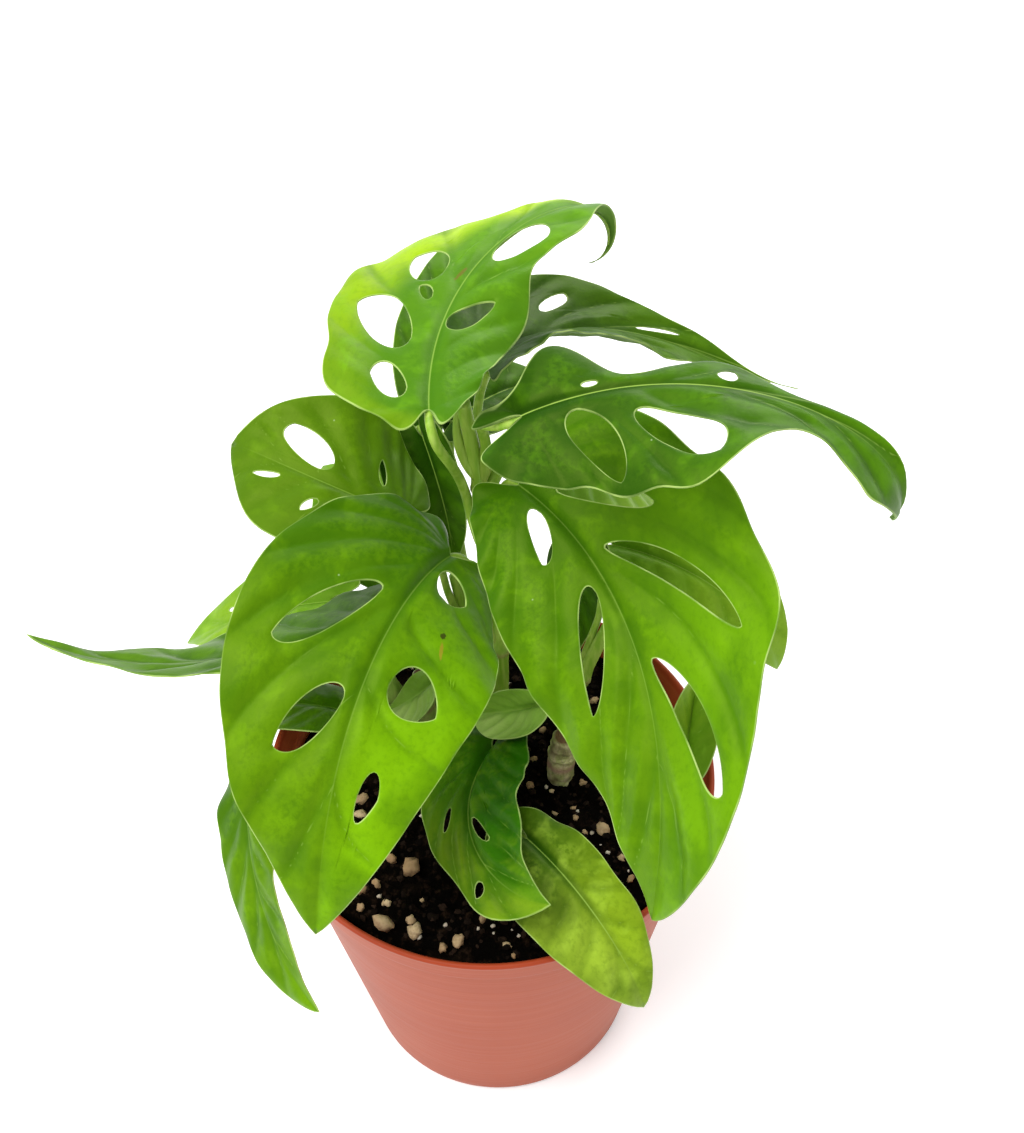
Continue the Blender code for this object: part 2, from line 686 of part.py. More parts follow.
def leaf_young_curled():
    return Leaf(
        "leaf_young_curled", joint=(14.5, 1, 136.5),
        heading=170, rise=-32, bank=36, turn=-23, arch=1, twist=4, snap=0,
        length=24, left=12, right=7, lobe=2, fold=44, curl=20, peak=1.28, taper=0.2,
        stalk=("soil", (25, 10), 0.4, 4, 0.5),
        stalk_radius=1.0, rows=7, columns=3, tone="pale",
    )


def leaf_front_curled():
    return Leaf(
        "leaf_front_curled", joint=(0.5, -2, 122.5),
        heading=-125, rise=3, bank=-26, turn=96, arch=13, twist=5, snap=18,
        length=65, left=17, right=14, lobe=11, fold=16, curl=18, peak=1.24, taper=0.2,
        left_edge=(0, 0, 0, -1, 1, 0), right_edge=(0, 0, 0, -2, -2, 3),
        holes=(
            (1, 0.66, 0.36, 0.7, 0.61, 0.02, 0.02), (-1, 0.73, 0.12, 0.79, 0.38, 0.03, 0.03),
            (1, 0.86, 0.35, 0.86, 0.75, 0.012, 0.012),
        ),
        stalk=("soil", (8, 8), 0.3, 0, 0.5),
        stalk_radius=1.2, rows=12, columns=5,
    )


def leaf_over_rim():
    return Leaf(
        "leaf_over_rim", joint=(8, -32, 125),
        heading=-50, rise=2, bank=-7, turn=-5, arch=-57, twist=-5, snap=-22,
        length=53, left=11.5, right=16.5, lobe=10.5, fold=7, curl=14, peak=1.31, taper=0.06,
        left_edge=(0, -1, -1, -1, 1, 1), right_edge=(0, 0, 0, 0, 0, 1),
        stalk=("soil", (10, -17), 0.3, 0, 0.5),
        stalk_radius=1.1, rows=9, columns=4, tone="pale",
    )


def leaf_young_small():
    return Leaf(
        "leaf_young_small", joint=(-14, 13, 133),
        heading=173, rise=-56, bank=24, turn=-11, arch=14, twist=1, snap=10,
        length=23, left=10, right=5, lobe=3, fold=21, curl=19, peak=1.22, taper=0.33,
        stalk=("soil", (-8, 12), 0.4, 2, 0.5),
        stalk_radius=0.9, rows=7, columns=3, tone="pale",
    )


def leaf_left_middle():
    return Leaf(
        "leaf_left_middle", joint=(-19, 29.5, 178),
        heading=172, rise=28, bank=-4, turn=-34, arch=-34, twist=34, snap=-15,
        length=51, left=21, right=26, lobe=7.5, fold=9, curl=15, peak=1.28, taper=-0.3,
        left_edge=(0, 0, 0, 0, 0, -1), right_edge=(0, 0, 0, 0, 0, 1),
        holes=(
            (1, 0.76, 0.12, 0.86, 0.62, 0.07, 0.06), (-1, 0.84, 0.2, 0.89, 0.5, 0.015, 0.015),
            (1, 0.52, 0.23, 0.55, 0.5, 0.02, 0.02), (-1, 0.71, 0.29, 0.72, 0.53, 0.015, 0.015),
        ),
        stalk=("stem", "stem_left", 142, 60, 0.35, 0, 0.5),
        rows=12, columns=5,
    )


def leaf_under_left():
    return Leaf(
        "leaf_under_left", joint=(-14.5, 59, 178.5),
        heading=-66, rise=-43, bank=-32, turn=10, arch=-54, twist=2, snap=-8,
        length=42, left=7.5, right=14, lobe=11, fold=25, curl=12, peak=1.3, taper=0.26,
        stalk=("stem", "stem_back", 134, 215, 0.3, 0, 0.5),
        stalk_radius=1.1, rows=8, columns=4, tone="dark",
    )


def leaf_far_left():
    return Leaf(
        "leaf_far_left", joint=(-22.5, 18.5, 159.5),
        heading=-156, rise=-14, bank=-28, turn=-49, arch=13, twist=-11, snap=24,
        length=100, left=17, right=20, lobe=10, fold=6, curl=7, peak=1.23, taper=0.42,
        left_edge=(0, 0, 0, 0, 0, -1), right_edge=(0, 0, 0, 0, 0, -1),
        stalk=("stem", "stem_left", 132, -60, 0.35, 0, 0.5),
        stalk_radius=1.2, rows=11, columns=4,
    )


def leaf_left_rim():
    return Leaf(
        "leaf_left_rim", joint=(-34.5, 9.5, 123.5),
        heading=159, rise=9, bank=-13, turn=11, arch=-60, twist=9, snap=-20,
        length=44, left=12, right=10, lobe=5.5, fold=10, curl=14, peak=1.28, taper=0.28,
        stalk=("soil", (-26, 4), 0.3, 0, 0.5),
        stalk_radius=1.0, rows=8, columns=4,
    )


def leaf_left_behind():
    return Leaf(
        "leaf_left_behind", joint=(-42, 35.5, 141),
        heading=169, rise=-15, bank=0, turn=1, arch=-27, twist=0, snap=-1,
        length=51, left=16, right=18, lobe=10, fold=11, curl=11, peak=1.31, taper=0.23,
        holes=(
            (1, 0.82, 0.3, 0.84, 0.5, 0.015, 0.015),
        ),
        stalk=("stem", "stem_left", 118, 180, 0.35, 0, 0.5),
        stalk_radius=1.1, rows=9, columns=4, tone="pale",
    )


def leaf_left_hanging():
    return Leaf(
        "leaf_left_hanging", joint=(-68, 13.5, 99.5),
        heading=-95, rise=-18, bank=-54, turn=44, arch=3, twist=2, snap=24,
        length=75, left=10, right=13, lobe=9.5, fold=10, curl=14, peak=1.3, taper=0.06,
        left_edge=(0, 0, 0, -1, 1, 0), right_edge=(0, 0, -1, 0, 0, 1),
        stalk=("soil", (-34, 38), 0.7, 30, 0.5),
        stalk_radius=1.1, rows=10, columns=4,
    )


def leaf_under_right():
    return Leaf(
        "leaf_under_right", joint=(17.5, 37.5, 191.5),
        heading=10, rise=-30, bank=-12, turn=3, arch=-30, twist=0, snap=-1,
        length=48, left=17, right=18, lobe=10, fold=8, curl=13, peak=1.24, taper=0.3,
        stalk=("stem", "stem_main", 162, 30, 0.35, 0, 0.5),
        stalk_radius=1.1, rows=9, columns=4,
    )


def leaf_right_far():
    return Leaf(
        "leaf_right_far", joint=(2.5, 43, 213),
        heading=73, rise=-15, bank=18, turn=-102, arch=-20, twist=-45, snap=43,
        length=116, left=19.5, right=15.5, lobe=12.5, fold=15, curl=-9, peak=1.1, taper=0.85,
        left_edge=(0, 0, 1, 1, -4, -2), right_edge=(0, 0, 0, 0, 1, -1),
        holes=(
            (-1, 0.65, 0.38, 0.67, 0.7, 0.02, 0.02), (-1, 0.8, 0.25, 0.84, 0.58, 0.015, 0.015),
        ),
        stalk=("stem", "stem_main", 184, 100, 0.35, 0, 0.5),
        rows=12, columns=5, tone="dark",
    )


def leaf_back_centre():
    return Leaf(
        "leaf_back_centre", joint=(-6.5, 67.5, 176),
        heading=41, rise=8, bank=-12, turn=2, arch=-45, twist=0, snap=-2,
        length=41, left=13, right=14, lobe=8.5, fold=19, curl=12, peak=1.28, taper=0.3,
        stalk=("stem", "stem_back", 132, -10, 0.05, 0, 0.5),
        stalk_radius=1.1, rows=8, columns=4, tone="dark",
    )


def leaf_back_standing():
    return Leaf(
        "leaf_back_standing", joint=(-10, 71, 172),
        heading=85, rise=18, bank=-17, turn=-4, arch=-17, twist=-6, snap=2,
        length=78, left=15, right=16, lobe=8, fold=5, curl=15, peak=1.29, taper=0.27,
        holes=(
            (-1, 0.6, 0.2, 0.64, 0.6, 0.03, 0.03), (1, 0.7, 0.2, 0.74, 0.6, 0.03, 0.03),
        ),
        stalk=("stem", "stem_back", 130, 100, 0.2, 0, 0.5),
        stalk_radius=1.2, rows=10, columns=4, tone="dark",
    )


def leaf_right_folded():
    return Leaf(
        "leaf_right_folded", joint=(50, -12, 117.5),
        heading=79, rise=28, bank=-15, turn=-6, arch=-30, twist=3, snap=0,
        length=32, left=9, right=9, lobe=2, fold=45, curl=9, peak=1.25, taper=0.3,
        stalk=("soil", (46, -18), 0.3, 0, 0.5),
        stalk_radius=1.0, rows=8, columns=3, tone="pale",
    )


def leaf_inner_right():
    return Leaf(
        "leaf_inner_right", joint=(28.5, 37, 154.5),
        heading=-140, rise=-70, bank=1, turn=2, arch=-30, twist=1, snap=0,
        length=40, left=10, right=12, lobe=10, fold=15, curl=12, peak=1.26, taper=0.3,
        stalk=("stem", "stem_right", 139, 140, 0.35, 0, 0.5),
        stalk_radius=1.0, rows=8, columns=4, tone="dark",
    )


def leaf_right_behind():
    return Leaf(
        "leaf_right_behind", joint=(36, 48.5, 145),
        heading=-21, rise=3, bank=-16, turn=-4, arch=-70, twist=-7, snap=-19,
        length=66, left=20.5, right=18, lobe=10, fold=10, curl=12, peak=1.27, taper=0.2,
        holes=(
            (-1, 0.6, 0.2, 0.66, 0.6, 0.03, 0.03),
        ),
        stalk=("soil", (38, 31), 0.2, 0, 0.5),
        stalk_radius=1.2, rows=9, columns=5, tone="pale",
    )


def leaf_back_low():
    return Leaf(
        "leaf_back_low", joint=(-21.5, 53.5, 136),
        heading=116, rise=6, bank=7, turn=2, arch=-31, twist=2, snap=-1,
        length=61, left=20, right=20, lobe=9.5, fold=8, curl=14, peak=1.25, taper=0.3,
        holes=(
            (1, 0.58, 0.2, 0.64, 0.65, 0.03, 0.03), (-1, 0.7, 0.2, 0.74, 0.62, 0.03, 0.03),
        ),
        stalk=("stem", "stem_back", 119, 170, 0.35, 0, 0.5),
        stalk_radius=1.2, rows=9, columns=5,
    )


def all_leaves():
    return [
        leaf_top_left(), leaf_right_long(), leaf_front_right(), leaf_front_left(), leaf_young_curled(),
        leaf_front_curled(), leaf_over_rim(), leaf_young_small(), leaf_left_middle(), leaf_under_left(),
        leaf_far_left(), leaf_left_rim(), leaf_left_behind(), leaf_left_hanging(), leaf_under_right(),
        leaf_right_far(), leaf_back_centre(), leaf_back_standing(), leaf_right_folded(), leaf_inner_right(),
        leaf_right_behind(), leaf_back_low(),
    ]


def main():
    clear_scene()
    mats = {
        "leaf": material("leaf_green", LEAF_COLOUR, 0.4),
        "pale": material("leaf_pale", PALE_LEAF_COLOUR, 0.42),
        "dark": material("leaf_dark", DARK_LEAF_COLOUR, 0.38),
    }
    stem_mat = material("stem_green", STEM_COLOUR, 0.5)
    cane_mat = material("cane_tan", CANE_COLOUR, 0.75)
    build_pot(material("pot_terracotta_plastic", POT_COLOUR, 0.42))
    stems = build_stems(stem_mat, cane_mat)
    by_name = {stem.name: stem for stem in stems}
    leaves = all_leaves()
    for leaf in leaves:
        leaf.build(mats, by_name)
    roots = [(stem.root[0], stem.root[1], stem.radius) for stem in stems] + list(STUMPS)
    roots += [(*leaf.stalk[1], leaf.stalk_radius) for leaf in leaves if leaf.stalk[0] == "soil"]
    build_soil(material("potting_mix", SOIL_COLOUR, 0.95), roots)
    holder = bpy.data.objects.new("plant_in_pot", None)
    bpy.context.scene.collection.objects.link(holder)
    for obj in list(bpy.data.objects):
        if obj is not holder:
            obj.parent = holder


if __name__ == "__main__":
    main()
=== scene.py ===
"""Looks of a young Swiss cheese vine in its plastic nursery pot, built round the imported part.

Frame: +Z up, origin at the middle of the pot's underside, -Y towards the viewer. The tables of leaves and stems
are in millimetres and degrees, on the same sizes as the part's solids, so every finer piece lies on its solid.
"""

import json
import math
from collections import namedtuple

import bpy
import numpy as np
from bpy.props import FloatProperty, FloatVectorProperty, IntProperty, PointerProperty
from mathutils import Matrix, Vector

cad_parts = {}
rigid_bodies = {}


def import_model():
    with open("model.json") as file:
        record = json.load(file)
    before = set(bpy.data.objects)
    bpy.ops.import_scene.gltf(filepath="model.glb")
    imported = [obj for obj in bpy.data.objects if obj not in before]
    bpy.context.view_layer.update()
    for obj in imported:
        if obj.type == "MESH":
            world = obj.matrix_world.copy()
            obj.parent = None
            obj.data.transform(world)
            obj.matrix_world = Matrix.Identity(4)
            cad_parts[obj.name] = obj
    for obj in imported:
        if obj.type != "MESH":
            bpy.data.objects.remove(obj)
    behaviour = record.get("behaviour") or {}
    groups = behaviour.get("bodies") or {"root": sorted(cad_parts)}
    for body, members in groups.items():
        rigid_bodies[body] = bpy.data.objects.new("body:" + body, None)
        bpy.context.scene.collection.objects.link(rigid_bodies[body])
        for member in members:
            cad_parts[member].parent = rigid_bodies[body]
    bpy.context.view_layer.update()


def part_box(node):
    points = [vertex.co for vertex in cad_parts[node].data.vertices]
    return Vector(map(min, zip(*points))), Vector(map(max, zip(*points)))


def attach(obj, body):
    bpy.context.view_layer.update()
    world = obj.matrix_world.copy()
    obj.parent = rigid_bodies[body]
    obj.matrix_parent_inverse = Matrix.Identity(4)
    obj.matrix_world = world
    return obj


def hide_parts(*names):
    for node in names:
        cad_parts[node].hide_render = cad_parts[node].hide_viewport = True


bl_info = {
    "name": "Swiss Cheese Vine in a Pot",
    "version": (1, 0, 0),
    "blender": (4, 5, 0),
    "location": "View3D > Sidebar > Vine",
    "description": "Builds a young pierced-leaf vine in its nursery pot, with potting mix and a stage",
    "category": "Add Mesh",
}

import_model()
MM = 0.001
POT_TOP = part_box("pot")[1]
HOLE_FLOOR = 0.3  # a stem stands this far above its hole's floor
FOOT = 1.0  # a stem's free curve starts this far above the mix
SMALLEST_AREA = 1e-7
FLAT_UNIT = 100.0  # millimetres for one unit of a leaf's flat map
SOFT_ANGLE = 60  # degrees past which an edge of a leaf or stem looks sharp

# Meshes


def mesh_from(name, points, triangles, values=None, flat=None):
    """Mesh from points in millimetres and an array of triangles, with point attributes and one UV map."""
    points = np.asarray(points, np.float32)
    triangles = np.asarray(triangles, np.int32)
    mesh = bpy.data.meshes.new(name)
    mesh.vertices.add(len(points))
    mesh.vertices.foreach_set("co", (points * MM).ravel())
    mesh.loops.add(triangles.size)
    mesh.loops.foreach_set("vertex_index", triangles.ravel())
    mesh.polygons.add(len(triangles))
    mesh.polygons.foreach_set("loop_start", np.arange(len(triangles), dtype=np.int32) * 3)
    mesh.polygons.foreach_set("use_smooth", np.full(len(triangles), True))
    for key, numbers in (values or {}).items():
        attribute = mesh.attributes.new(key, "FLOAT", "POINT")
        attribute.data.foreach_set("value", np.asarray(numbers, np.float32))
    if flat is not None:
        layer = mesh.uv_layers.new(name="flat")
        layer.data.foreach_set("uv", np.asarray(flat, np.float32)[triangles.ravel()].ravel())
    mesh.update(calc_edges=True)
    mesh.validate()
    return mesh


def add_piece(name, mesh, finish, nodes, smooth_angle=None):
    """Puts a mesh in the scene as a piece that rides on the plant and stands for its solids."""
    piece = bpy.data.objects.new(name, mesh)
    bpy.context.scene.collection.objects.link(piece)
    mesh.materials.append(finish)
    if smooth_angle is not None:
        mesh.set_sharp_from_angle(angle=math.radians(smooth_angle))
    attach(piece, "root")
    if nodes:
        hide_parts(*nodes)
    return piece


def merged(shells):
    """Joins (points, triangles, values) shells, with zeros where a shell lacks a value."""
    keys = sorted({key for shell in shells for key in shell[2]})
    counts = np.cumsum([0] + [len(shell[0]) for shell in shells])
    points = np.concatenate([shell[0] for shell in shells])
    triangles = np.concatenate([shell[1] + count for shell, count in zip(shells, counts)])
    values = {}
    for key in keys:
        values[key] = np.concatenate([shell[2].get(key, np.zeros(len(shell[0]))) for shell in shells])
    return points, triangles, values


def grid_triangles(rows, columns, closed):
    """Two triangles for each cell of a grid of points; closed joins the last column to the first."""
    cells = columns if closed else columns - 1
    i, k = np.meshgrid(np.arange(rows - 1), np.arange(cells), indexing="ij")
    a = (i * columns + k).ravel()
    b = (i * columns + (k + 1) % columns).ravel()
    return np.concatenate([np.stack([a, b, b + columns], 1), np.stack([a, b + columns, a + columns], 1)])


def held(number):
    """The number, held between 0 and 1."""
    return np.clip(number, 0.0, 1.0)


def bell(distance, width):
    """Bell curve: e to the power of minus the square of distance / width."""
    return np.exp(-(distance / width) ** 2)


def turned(profile, sides):
    """Profile (radius, height) carried round Z; a radius of 0 closes the shape with a pole."""
    profile = np.asarray(profile, float)
    angle = np.arange(sides) * (2 * np.pi / sides)
    x = profile[:, :1] * np.cos(angle)
    y = profile[:, :1] * np.sin(angle)
    z = np.repeat(profile[:, 1:2], sides, axis=1)
    points = np.stack([x, y, z], -1).reshape(-1, 3)
    return points, drop_slivers(points, grid_triangles(len(profile), sides, True))


def drop_slivers(points, triangles):
    """Leaves out the triangles that a pole or a shared point has closed up."""
    a, b, c = (points[triangles[:, k]] for k in range(3))
    area = np.linalg.norm(np.cross(b - a, c - a), axis=1)
    return triangles[area > SMALLEST_AREA]


def bezier(points, count):
    """Even steps of the parameter along one cubic Bezier curve."""
    a, b, c, d = (np.array(p, float) for p in points)
    t = np.linspace(0.0, 1.0, count)[:, None]
    return a * (1 - t) ** 3 + 3 * b * t * (1 - t) ** 2 + 3 * c * t ** 2 * (1 - t) + d * t ** 3


def resampled(path, radii, count):
    """The same path and radii in even steps of its length, the path smoothed with a short moving mean."""
    steps = np.linalg.norm(np.diff(path, axis=0), axis=1)
    length = np.concatenate([[0.0], np.cumsum(steps)])
    even = np.linspace(0.0, length[-1], count)
    points = np.stack([np.interp(even, length, path[:, k]) for k in range(3)], 1)
    smooth = points.copy()
    smooth[1:-1] = (points[:-2] + 2 * points[1:-1] + points[2:]) / 4
    smooth[1:-1] = (smooth[:-2] + 2 * smooth[1:-1] + smooth[2:]) / 4
    return smooth, np.interp(even, length, radii)


CAP_WIDTHS = np.array([1.0, 0.75, 0.45, 0.0])
CAP_HEIGHT = 0.35
TUBE_RIBS = 5


def tube(path, radii, sides, ridges):
    """Closed tube: a circle of the given radius at each path point, square to the path, with domed ends.

    Its frame is the path's direction, a fixed reference made square to it, and their cross product.
    ridges lifts faint ribs along it, as radius * (1 + ridges * cos(TUBE_RIBS * angle)).
    """
    path = np.asarray(path, float)
    radii = np.asarray(radii, float)
    along = np.gradient(path, axis=0)
    along /= np.linalg.norm(along, axis=1)[:, None]
    axis = np.eye(3)[np.argmin(np.abs(path[-1] - path[0]))]
    across = axis - along * (along @ axis)[:, None]
    across /= np.linalg.norm(across, axis=1)[:, None]
    other = np.cross(along, across)
    lift = np.sqrt(1 - CAP_WIDTHS ** 2) * CAP_HEIGHT
    centre = np.concatenate([
        path[0] - along[0] * radii[0] * lift[::-1][:, None], path[1:-1],
        path[-1] + along[-1] * radii[-1] * lift[:, None],
    ])
    size = np.concatenate([radii[0] * CAP_WIDTHS[::-1], radii[1:-1], radii[-1] * CAP_WIDTHS])
    ends = len(CAP_WIDTHS)
    across, other = (
        np.concatenate([np.repeat(v[:1], ends, 0), v[1:-1], np.repeat(v[-1:], ends, 0)]) for v in (across, other)
    )
    angle = np.arange(sides) * (2 * np.pi / sides)
    swell = 1 + ridges * np.cos(TUBE_RIBS * angle)
    ring = np.cos(angle)[:, None] * across[:, None] + np.sin(angle)[:, None] * other[:, None]
    points = centre[:, None] + ring * (size[:, None] * swell)[..., None]
    triangles = grid_triangles(len(centre), sides, True)
    points = points.reshape(-1, 3)
    steps = np.concatenate([[0.0], np.cumsum(np.linalg.norm(np.diff(centre, axis=0), axis=1))])
    return points, drop_slivers(points, triangles), {"along": np.repeat(steps, sides)}


LATTICE = 64
LATTICE_START = 200.0


def value_noise(x, y, size, seed):
    """Smooth random heights from -1 to 1: a seeded lattice of random numbers, blended between its points."""
    lattice = np.random.default_rng(seed).uniform(-1.0, 1.0, (LATTICE, LATTICE))
    u, v = x / size + LATTICE_START, y / size + LATTICE_START
    i, j = np.floor(u).astype(int), np.floor(v).astype(int)
    f, g = u - i, v - j
    f, g = f * f * (3 - 2 * f), g * g * (3 - 2 * g)
    corner = [[lattice[(i + a) % LATTICE, (j + b) % LATTICE] for b in (0, 1)] for a in (0, 1)]
    low = corner[0][0] * (1 - f) + corner[1][0] * f
    high = corner[0][1] * (1 - f) + corner[1][1] * f
    return low * (1 - g) + high * g


# Materials


class Number:
    """A number in a material: arithmetic on it adds Math nodes."""

    def __init__(self, finish, socket):
        self.finish, self.socket = finish, socket

    def math(self, operation, *inputs):
        return self.finish.node("ShaderNodeMath", {"operation": operation}, dict(enumerate(inputs)))

    def __add__(self, other): return self.math("ADD", self, other)
    def __radd__(self, other): return self.math("ADD", other, self)
    def __sub__(self, other): return self.math("SUBTRACT", self, other)
    def __rsub__(self, other): return self.math("SUBTRACT", other, self)
    def __mul__(self, other): return self.math("MULTIPLY", self, other)
    def __truediv__(self, other): return self.math("DIVIDE", self, other)
    def __pow__(self, other): return self.math("POWER", self, other)

    def between(self, low, high):
        """0 at low, 1 at high, eased and held outside."""
        inputs = {"Value": self, "From Min": low, "From Max": high, "To Min": 0.0, "To Max": 1.0}
        settings = {"interpolation_type": "SMOOTHSTEP", "clamp": True}
        if low > high:
            inputs.update({"From Min": high, "From Max": low, "To Min": 1.0, "To Max": 0.0})
        return self.finish.node("ShaderNodeMapRange", settings, inputs)


class Finish:
    """One material: its Principled shader and a method that adds any other node."""

    def __init__(self, name, **uniform):
        self.material = bpy.data.materials.new(name)
        self.material.use_nodes = True
        self.tree = self.material.node_tree
        self.shader = self.tree.nodes["Principled BSDF"]
        for key, value in uniform.items():
            self.shader.inputs[key.replace("_", " ").title().replace("Ior", "IOR")].default_value = value

    def node(self, kind, settings=None, inputs=None, out=0):
        """Adds a node: its settings first, then its sockets' values or links; gives one output."""
        node = self.tree.nodes.new(kind)
        for key, value in (settings or {}).items():
            setattr(node, key, value)
        for key, value in (inputs or {}).items():
            socket = node.inputs[key]
            source = getattr(value, "socket", value)
            if isinstance(source, bpy.types.NodeSocket):
                self.tree.links.new(source, socket)
            elif socket.type == "RGBA" and len(source) == 3:
                socket.default_value = (*source, 1.0)
            else:
                socket.default_value = source
        return Number(self, node.outputs[out])

    def attribute(self, name):
        """One of the mesh's own values."""
        return self.node("ShaderNodeAttribute", {"attribute_name": name}, out=2)

    def flat(self):
        """The leaf's own flat place, one unit for FLAT_UNIT millimetres."""
        return self.node("ShaderNodeUVMap", {"uv_map": "flat"})

    def place(self):
        """Object coordinates, in metres."""
        return self.node("ShaderNodeTexCoord", out=3)

    def stretched(self, vector, scale):
        return self.node("ShaderNodeVectorMath", {"operation": "MULTIPLY"}, {0: vector, 1: scale})

    def noise(self, vector, scale, detail, roughness=0.5, distortion=0.0):
        inputs = {
            "Vector": vector, "Scale": scale, "Detail": detail, "Roughness": roughness, "Distortion": distortion,
        }
        return self.node("ShaderNodeTexNoise", None, inputs)

    def cells(self, vector, scale, feature="F1", out=0):
        return self.node("ShaderNodeTexVoronoi", {"feature": feature}, {"Vector": vector, "Scale": scale}, out)

    def mix(self, factor, first, second):
        """Colour mix: first at 0, second at 1."""
        settings = {"data_type": "RGBA", "clamp_factor": True}
        return self.node("ShaderNodeMix", settings, {0: factor, 6: first, 7: second}, 2)

    def paint(self, factor, colour):
        """Lays a colour over what is painted so far, as strongly as the factor says."""
        self.colour = self.mix(factor, self.colour, colour)

    def apart(self, vector):
        """The three numbers of a vector."""
        x = self.node("ShaderNodeSeparateXYZ", None, {0: vector})
        return [Number(self, output) for output in x.socket.node.outputs]

    def done(self, roughness, height, depth, strength):
        """Links the painted colour, the roughness and a bump of the height to the shader."""
        bump = self.node("ShaderNodeBump", None, {"Height": height, "Distance": depth, "Strength": strength})
        for key, value in (("Base Color", self.colour), ("Roughness", roughness), ("Normal", bump)):
            self.tree.links.new(value.socket, self.shader.inputs[key])
        return self.material


def line(distance, width):
    """1 on a line, 0 beyond its width; distance and width in millimetres."""
    return distance.between(width, width * 0.4)


class Tone:
    """Colours of one kind of leaf: its left half, its right half and its joint; where the halves differ, the
    lighter one is painted light, and the joint's colour is painted shade.

    veins and ridge say how strongly the side veins, with painted shade in their grooves, and the rib show, turn
    between which reaches left turns into right, from -1 at the left margin to 1 at the right one, the joint's
    reach how far along its painted shade runs, and tip how much painted light lightens the leaf towards its tip.
    """

    def __init__(self, left, right, joint, veins=0.6, ridge=0.25, turn=(-0.3, 0.3), joint_reach=0.6, tip=0.4):
        self.left, self.right, self.joint = left, right, joint
        self.veins, self.ridge, self.turn, self.joint_reach, self.tip = veins, ridge, turn, joint_reach, tip


SPECKS, SPECK_STEP = 7.0, 14.0  # pale specks for one unit of the flat map, and the millimetres between them
PALE_SPECK = (0.5, 0.62, 0.35)


def leaf_finish(name, look, tone, spots):
    """Leaf skin: two greens across the rib, the lighter one painted light; painted shade at the joint, beside the
    rib and in the side veins' grooves; painted light towards the tip and on the puffed skin; clouded; thin pale
    rib, margin and hole edges.

    spots: (x, y, length, width, turn, colour) damage marks on the flat blade, in millimetres.
    """
    dark, pale = tone.joint, tuple(look.vein_colour)
    light = tuple(1.6 * part + 0.015 * (part > 0.01) for part in tone.right)
    leaf = Finish(name, specular_ior_level=look.shine, specular_tint=(*look.shine_colour, 1.0))
    edge, rib, vein, upper = (leaf.attribute(key) for key in ("edge", "rib", "vein", "upper"))
    half, share, puff = (leaf.attribute(key) for key in ("half", "share", "puff"))
    flat = leaf.flat()
    slow = leaf.noise(flat, 5.0, 2.0)
    cloud = leaf.noise(flat, 13.0, 3.0, 0.6, 0.4)
    fine = leaf.noise(flat, 60.0, 4.0, 0.65)
    # One half lighter than the other: painted light on that half.
    leaf.colour = leaf.mix(half.between(*tone.turn), tone.left, tone.right)
    # Darker towards the joint: painted shade in the middle of the plant.
    leaf.paint(share.between(tone.joint_reach, 0.0) * 0.8, dark)
    # Lighter towards the tip: painted light.
    leaf.paint(share.between(0.6, 1.05) * tone.tip, light)
    leaf.paint(slow.between(0.56, 0.36) * 0.5, dark)
    leaf.paint(cloud.between(0.5, 0.72) * 0.32, light)
    # Lighter on the puffed skin between the veins: painted highlight.
    leaf.paint(puff.between(0.5, 1.0) * fine.between(0.35, 0.65) * 0.22, light)
    leaf.paint(fine.between(0.55, 0.3) * 0.22, dark)
    # Darker along the side veins: painted shade in their grooves.
    leaf.paint(vein.between(1.7, 0.1) * tone.veins * 0.5, dark)
    leaf.paint(line(vein, 0.24) * rib.between(22.0, 6.0) * tone.veins * 0.34, pale)
    # Darker beside the rib towards the joint: painted shade in its groove.
    leaf.paint(rib.between(2.2, 0.3) * share.between(0.95, 0.1) * 0.65, dark)
    leaf.paint(line(rib, 0.22) * share.between(1.0, 0.3) * tone.ridge, pale)
    speck = leaf.cells(flat, SPECKS)
    lucky = leaf.noise(leaf.cells(flat, SPECKS, out=1), 40.0, 0.0)
    leaf.paint(line(speck * SPECK_STEP, 0.4) * lucky.between(0.5, 0.54) * 0.55, PALE_SPECK)
    x, y, _ = leaf.apart(flat)
    for spot_x, spot_y, length, width, turn, spot_colour in spots:
        c, s = math.cos(math.radians(turn)), math.sin(math.radians(turn))
        dx, dy = x * FLAT_UNIT - spot_x, y * FLAT_UNIT - spot_y
        far = ((dx * c + dy * s) / length) ** 2.0 + ((dy * c - dx * s) / width) ** 2.0
        ragged = leaf.noise(flat, 120.0, 2.0) * 1.6 - 0.8
        leaf.paint((far + ragged).between(1.0, 0.4) * 0.8, spot_colour)
    leaf.colour = leaf.mix(upper, leaf.mix(0.5, leaf.colour, tuple(look.underside)), leaf.colour)
    margin = look.margin_width / MM
    uneven = leaf.noise(flat, 11.0, 2.0).between(0.38, 0.62)
    leaf.paint(edge.between(margin * 1.5, margin * 0.5) * (0.2 + uneven * 0.6), tuple(look.margin_colour))
    rough = 0.3 + slow * 0.16 + fine * 0.12 + (1.0 - upper) * 0.2
    return leaf.done(rough, cloud * 0.6 + fine * 0.4, 0.0005, 0.4)


STALK_CUT = (0.16, 0.075, 0.03)


def stem_finish(name, green, pale, brown):
    """Stem and stalk skin: green with pale streaks along it, tan scars, and flecks."""
    stem = Finish(name, specular_ior_level=0.25)
    place = stem.place()
    streak = stem.noise(stem.stretched(place, (700.0, 700.0, 40.0)), 1.0, 2.0)
    patch = stem.noise(place, 160.0, 3.0, 0.6)
    scar = stem.attribute("scar")
    stem.colour = stem.mix(streak.between(0.3, 0.75) * 0.6, green, pale)
    stem.paint(patch.between(0.66, 0.76) * 0.4, brown)
    stem.paint(scar * 0.75, brown)
    stem.paint(stem.attribute("cut"), STALK_CUT)
    return stem.done(0.4 + patch * 0.15 + scar * 0.2, streak * 0.6 + patch * 0.4, 0.0003, 0.5)


BARK_BLOTCH, BARK_NODE, BARK_CUT = (0.11, 0.06, 0.03), (0.52, 0.30, 0.22), (0.20, 0.11, 0.05)


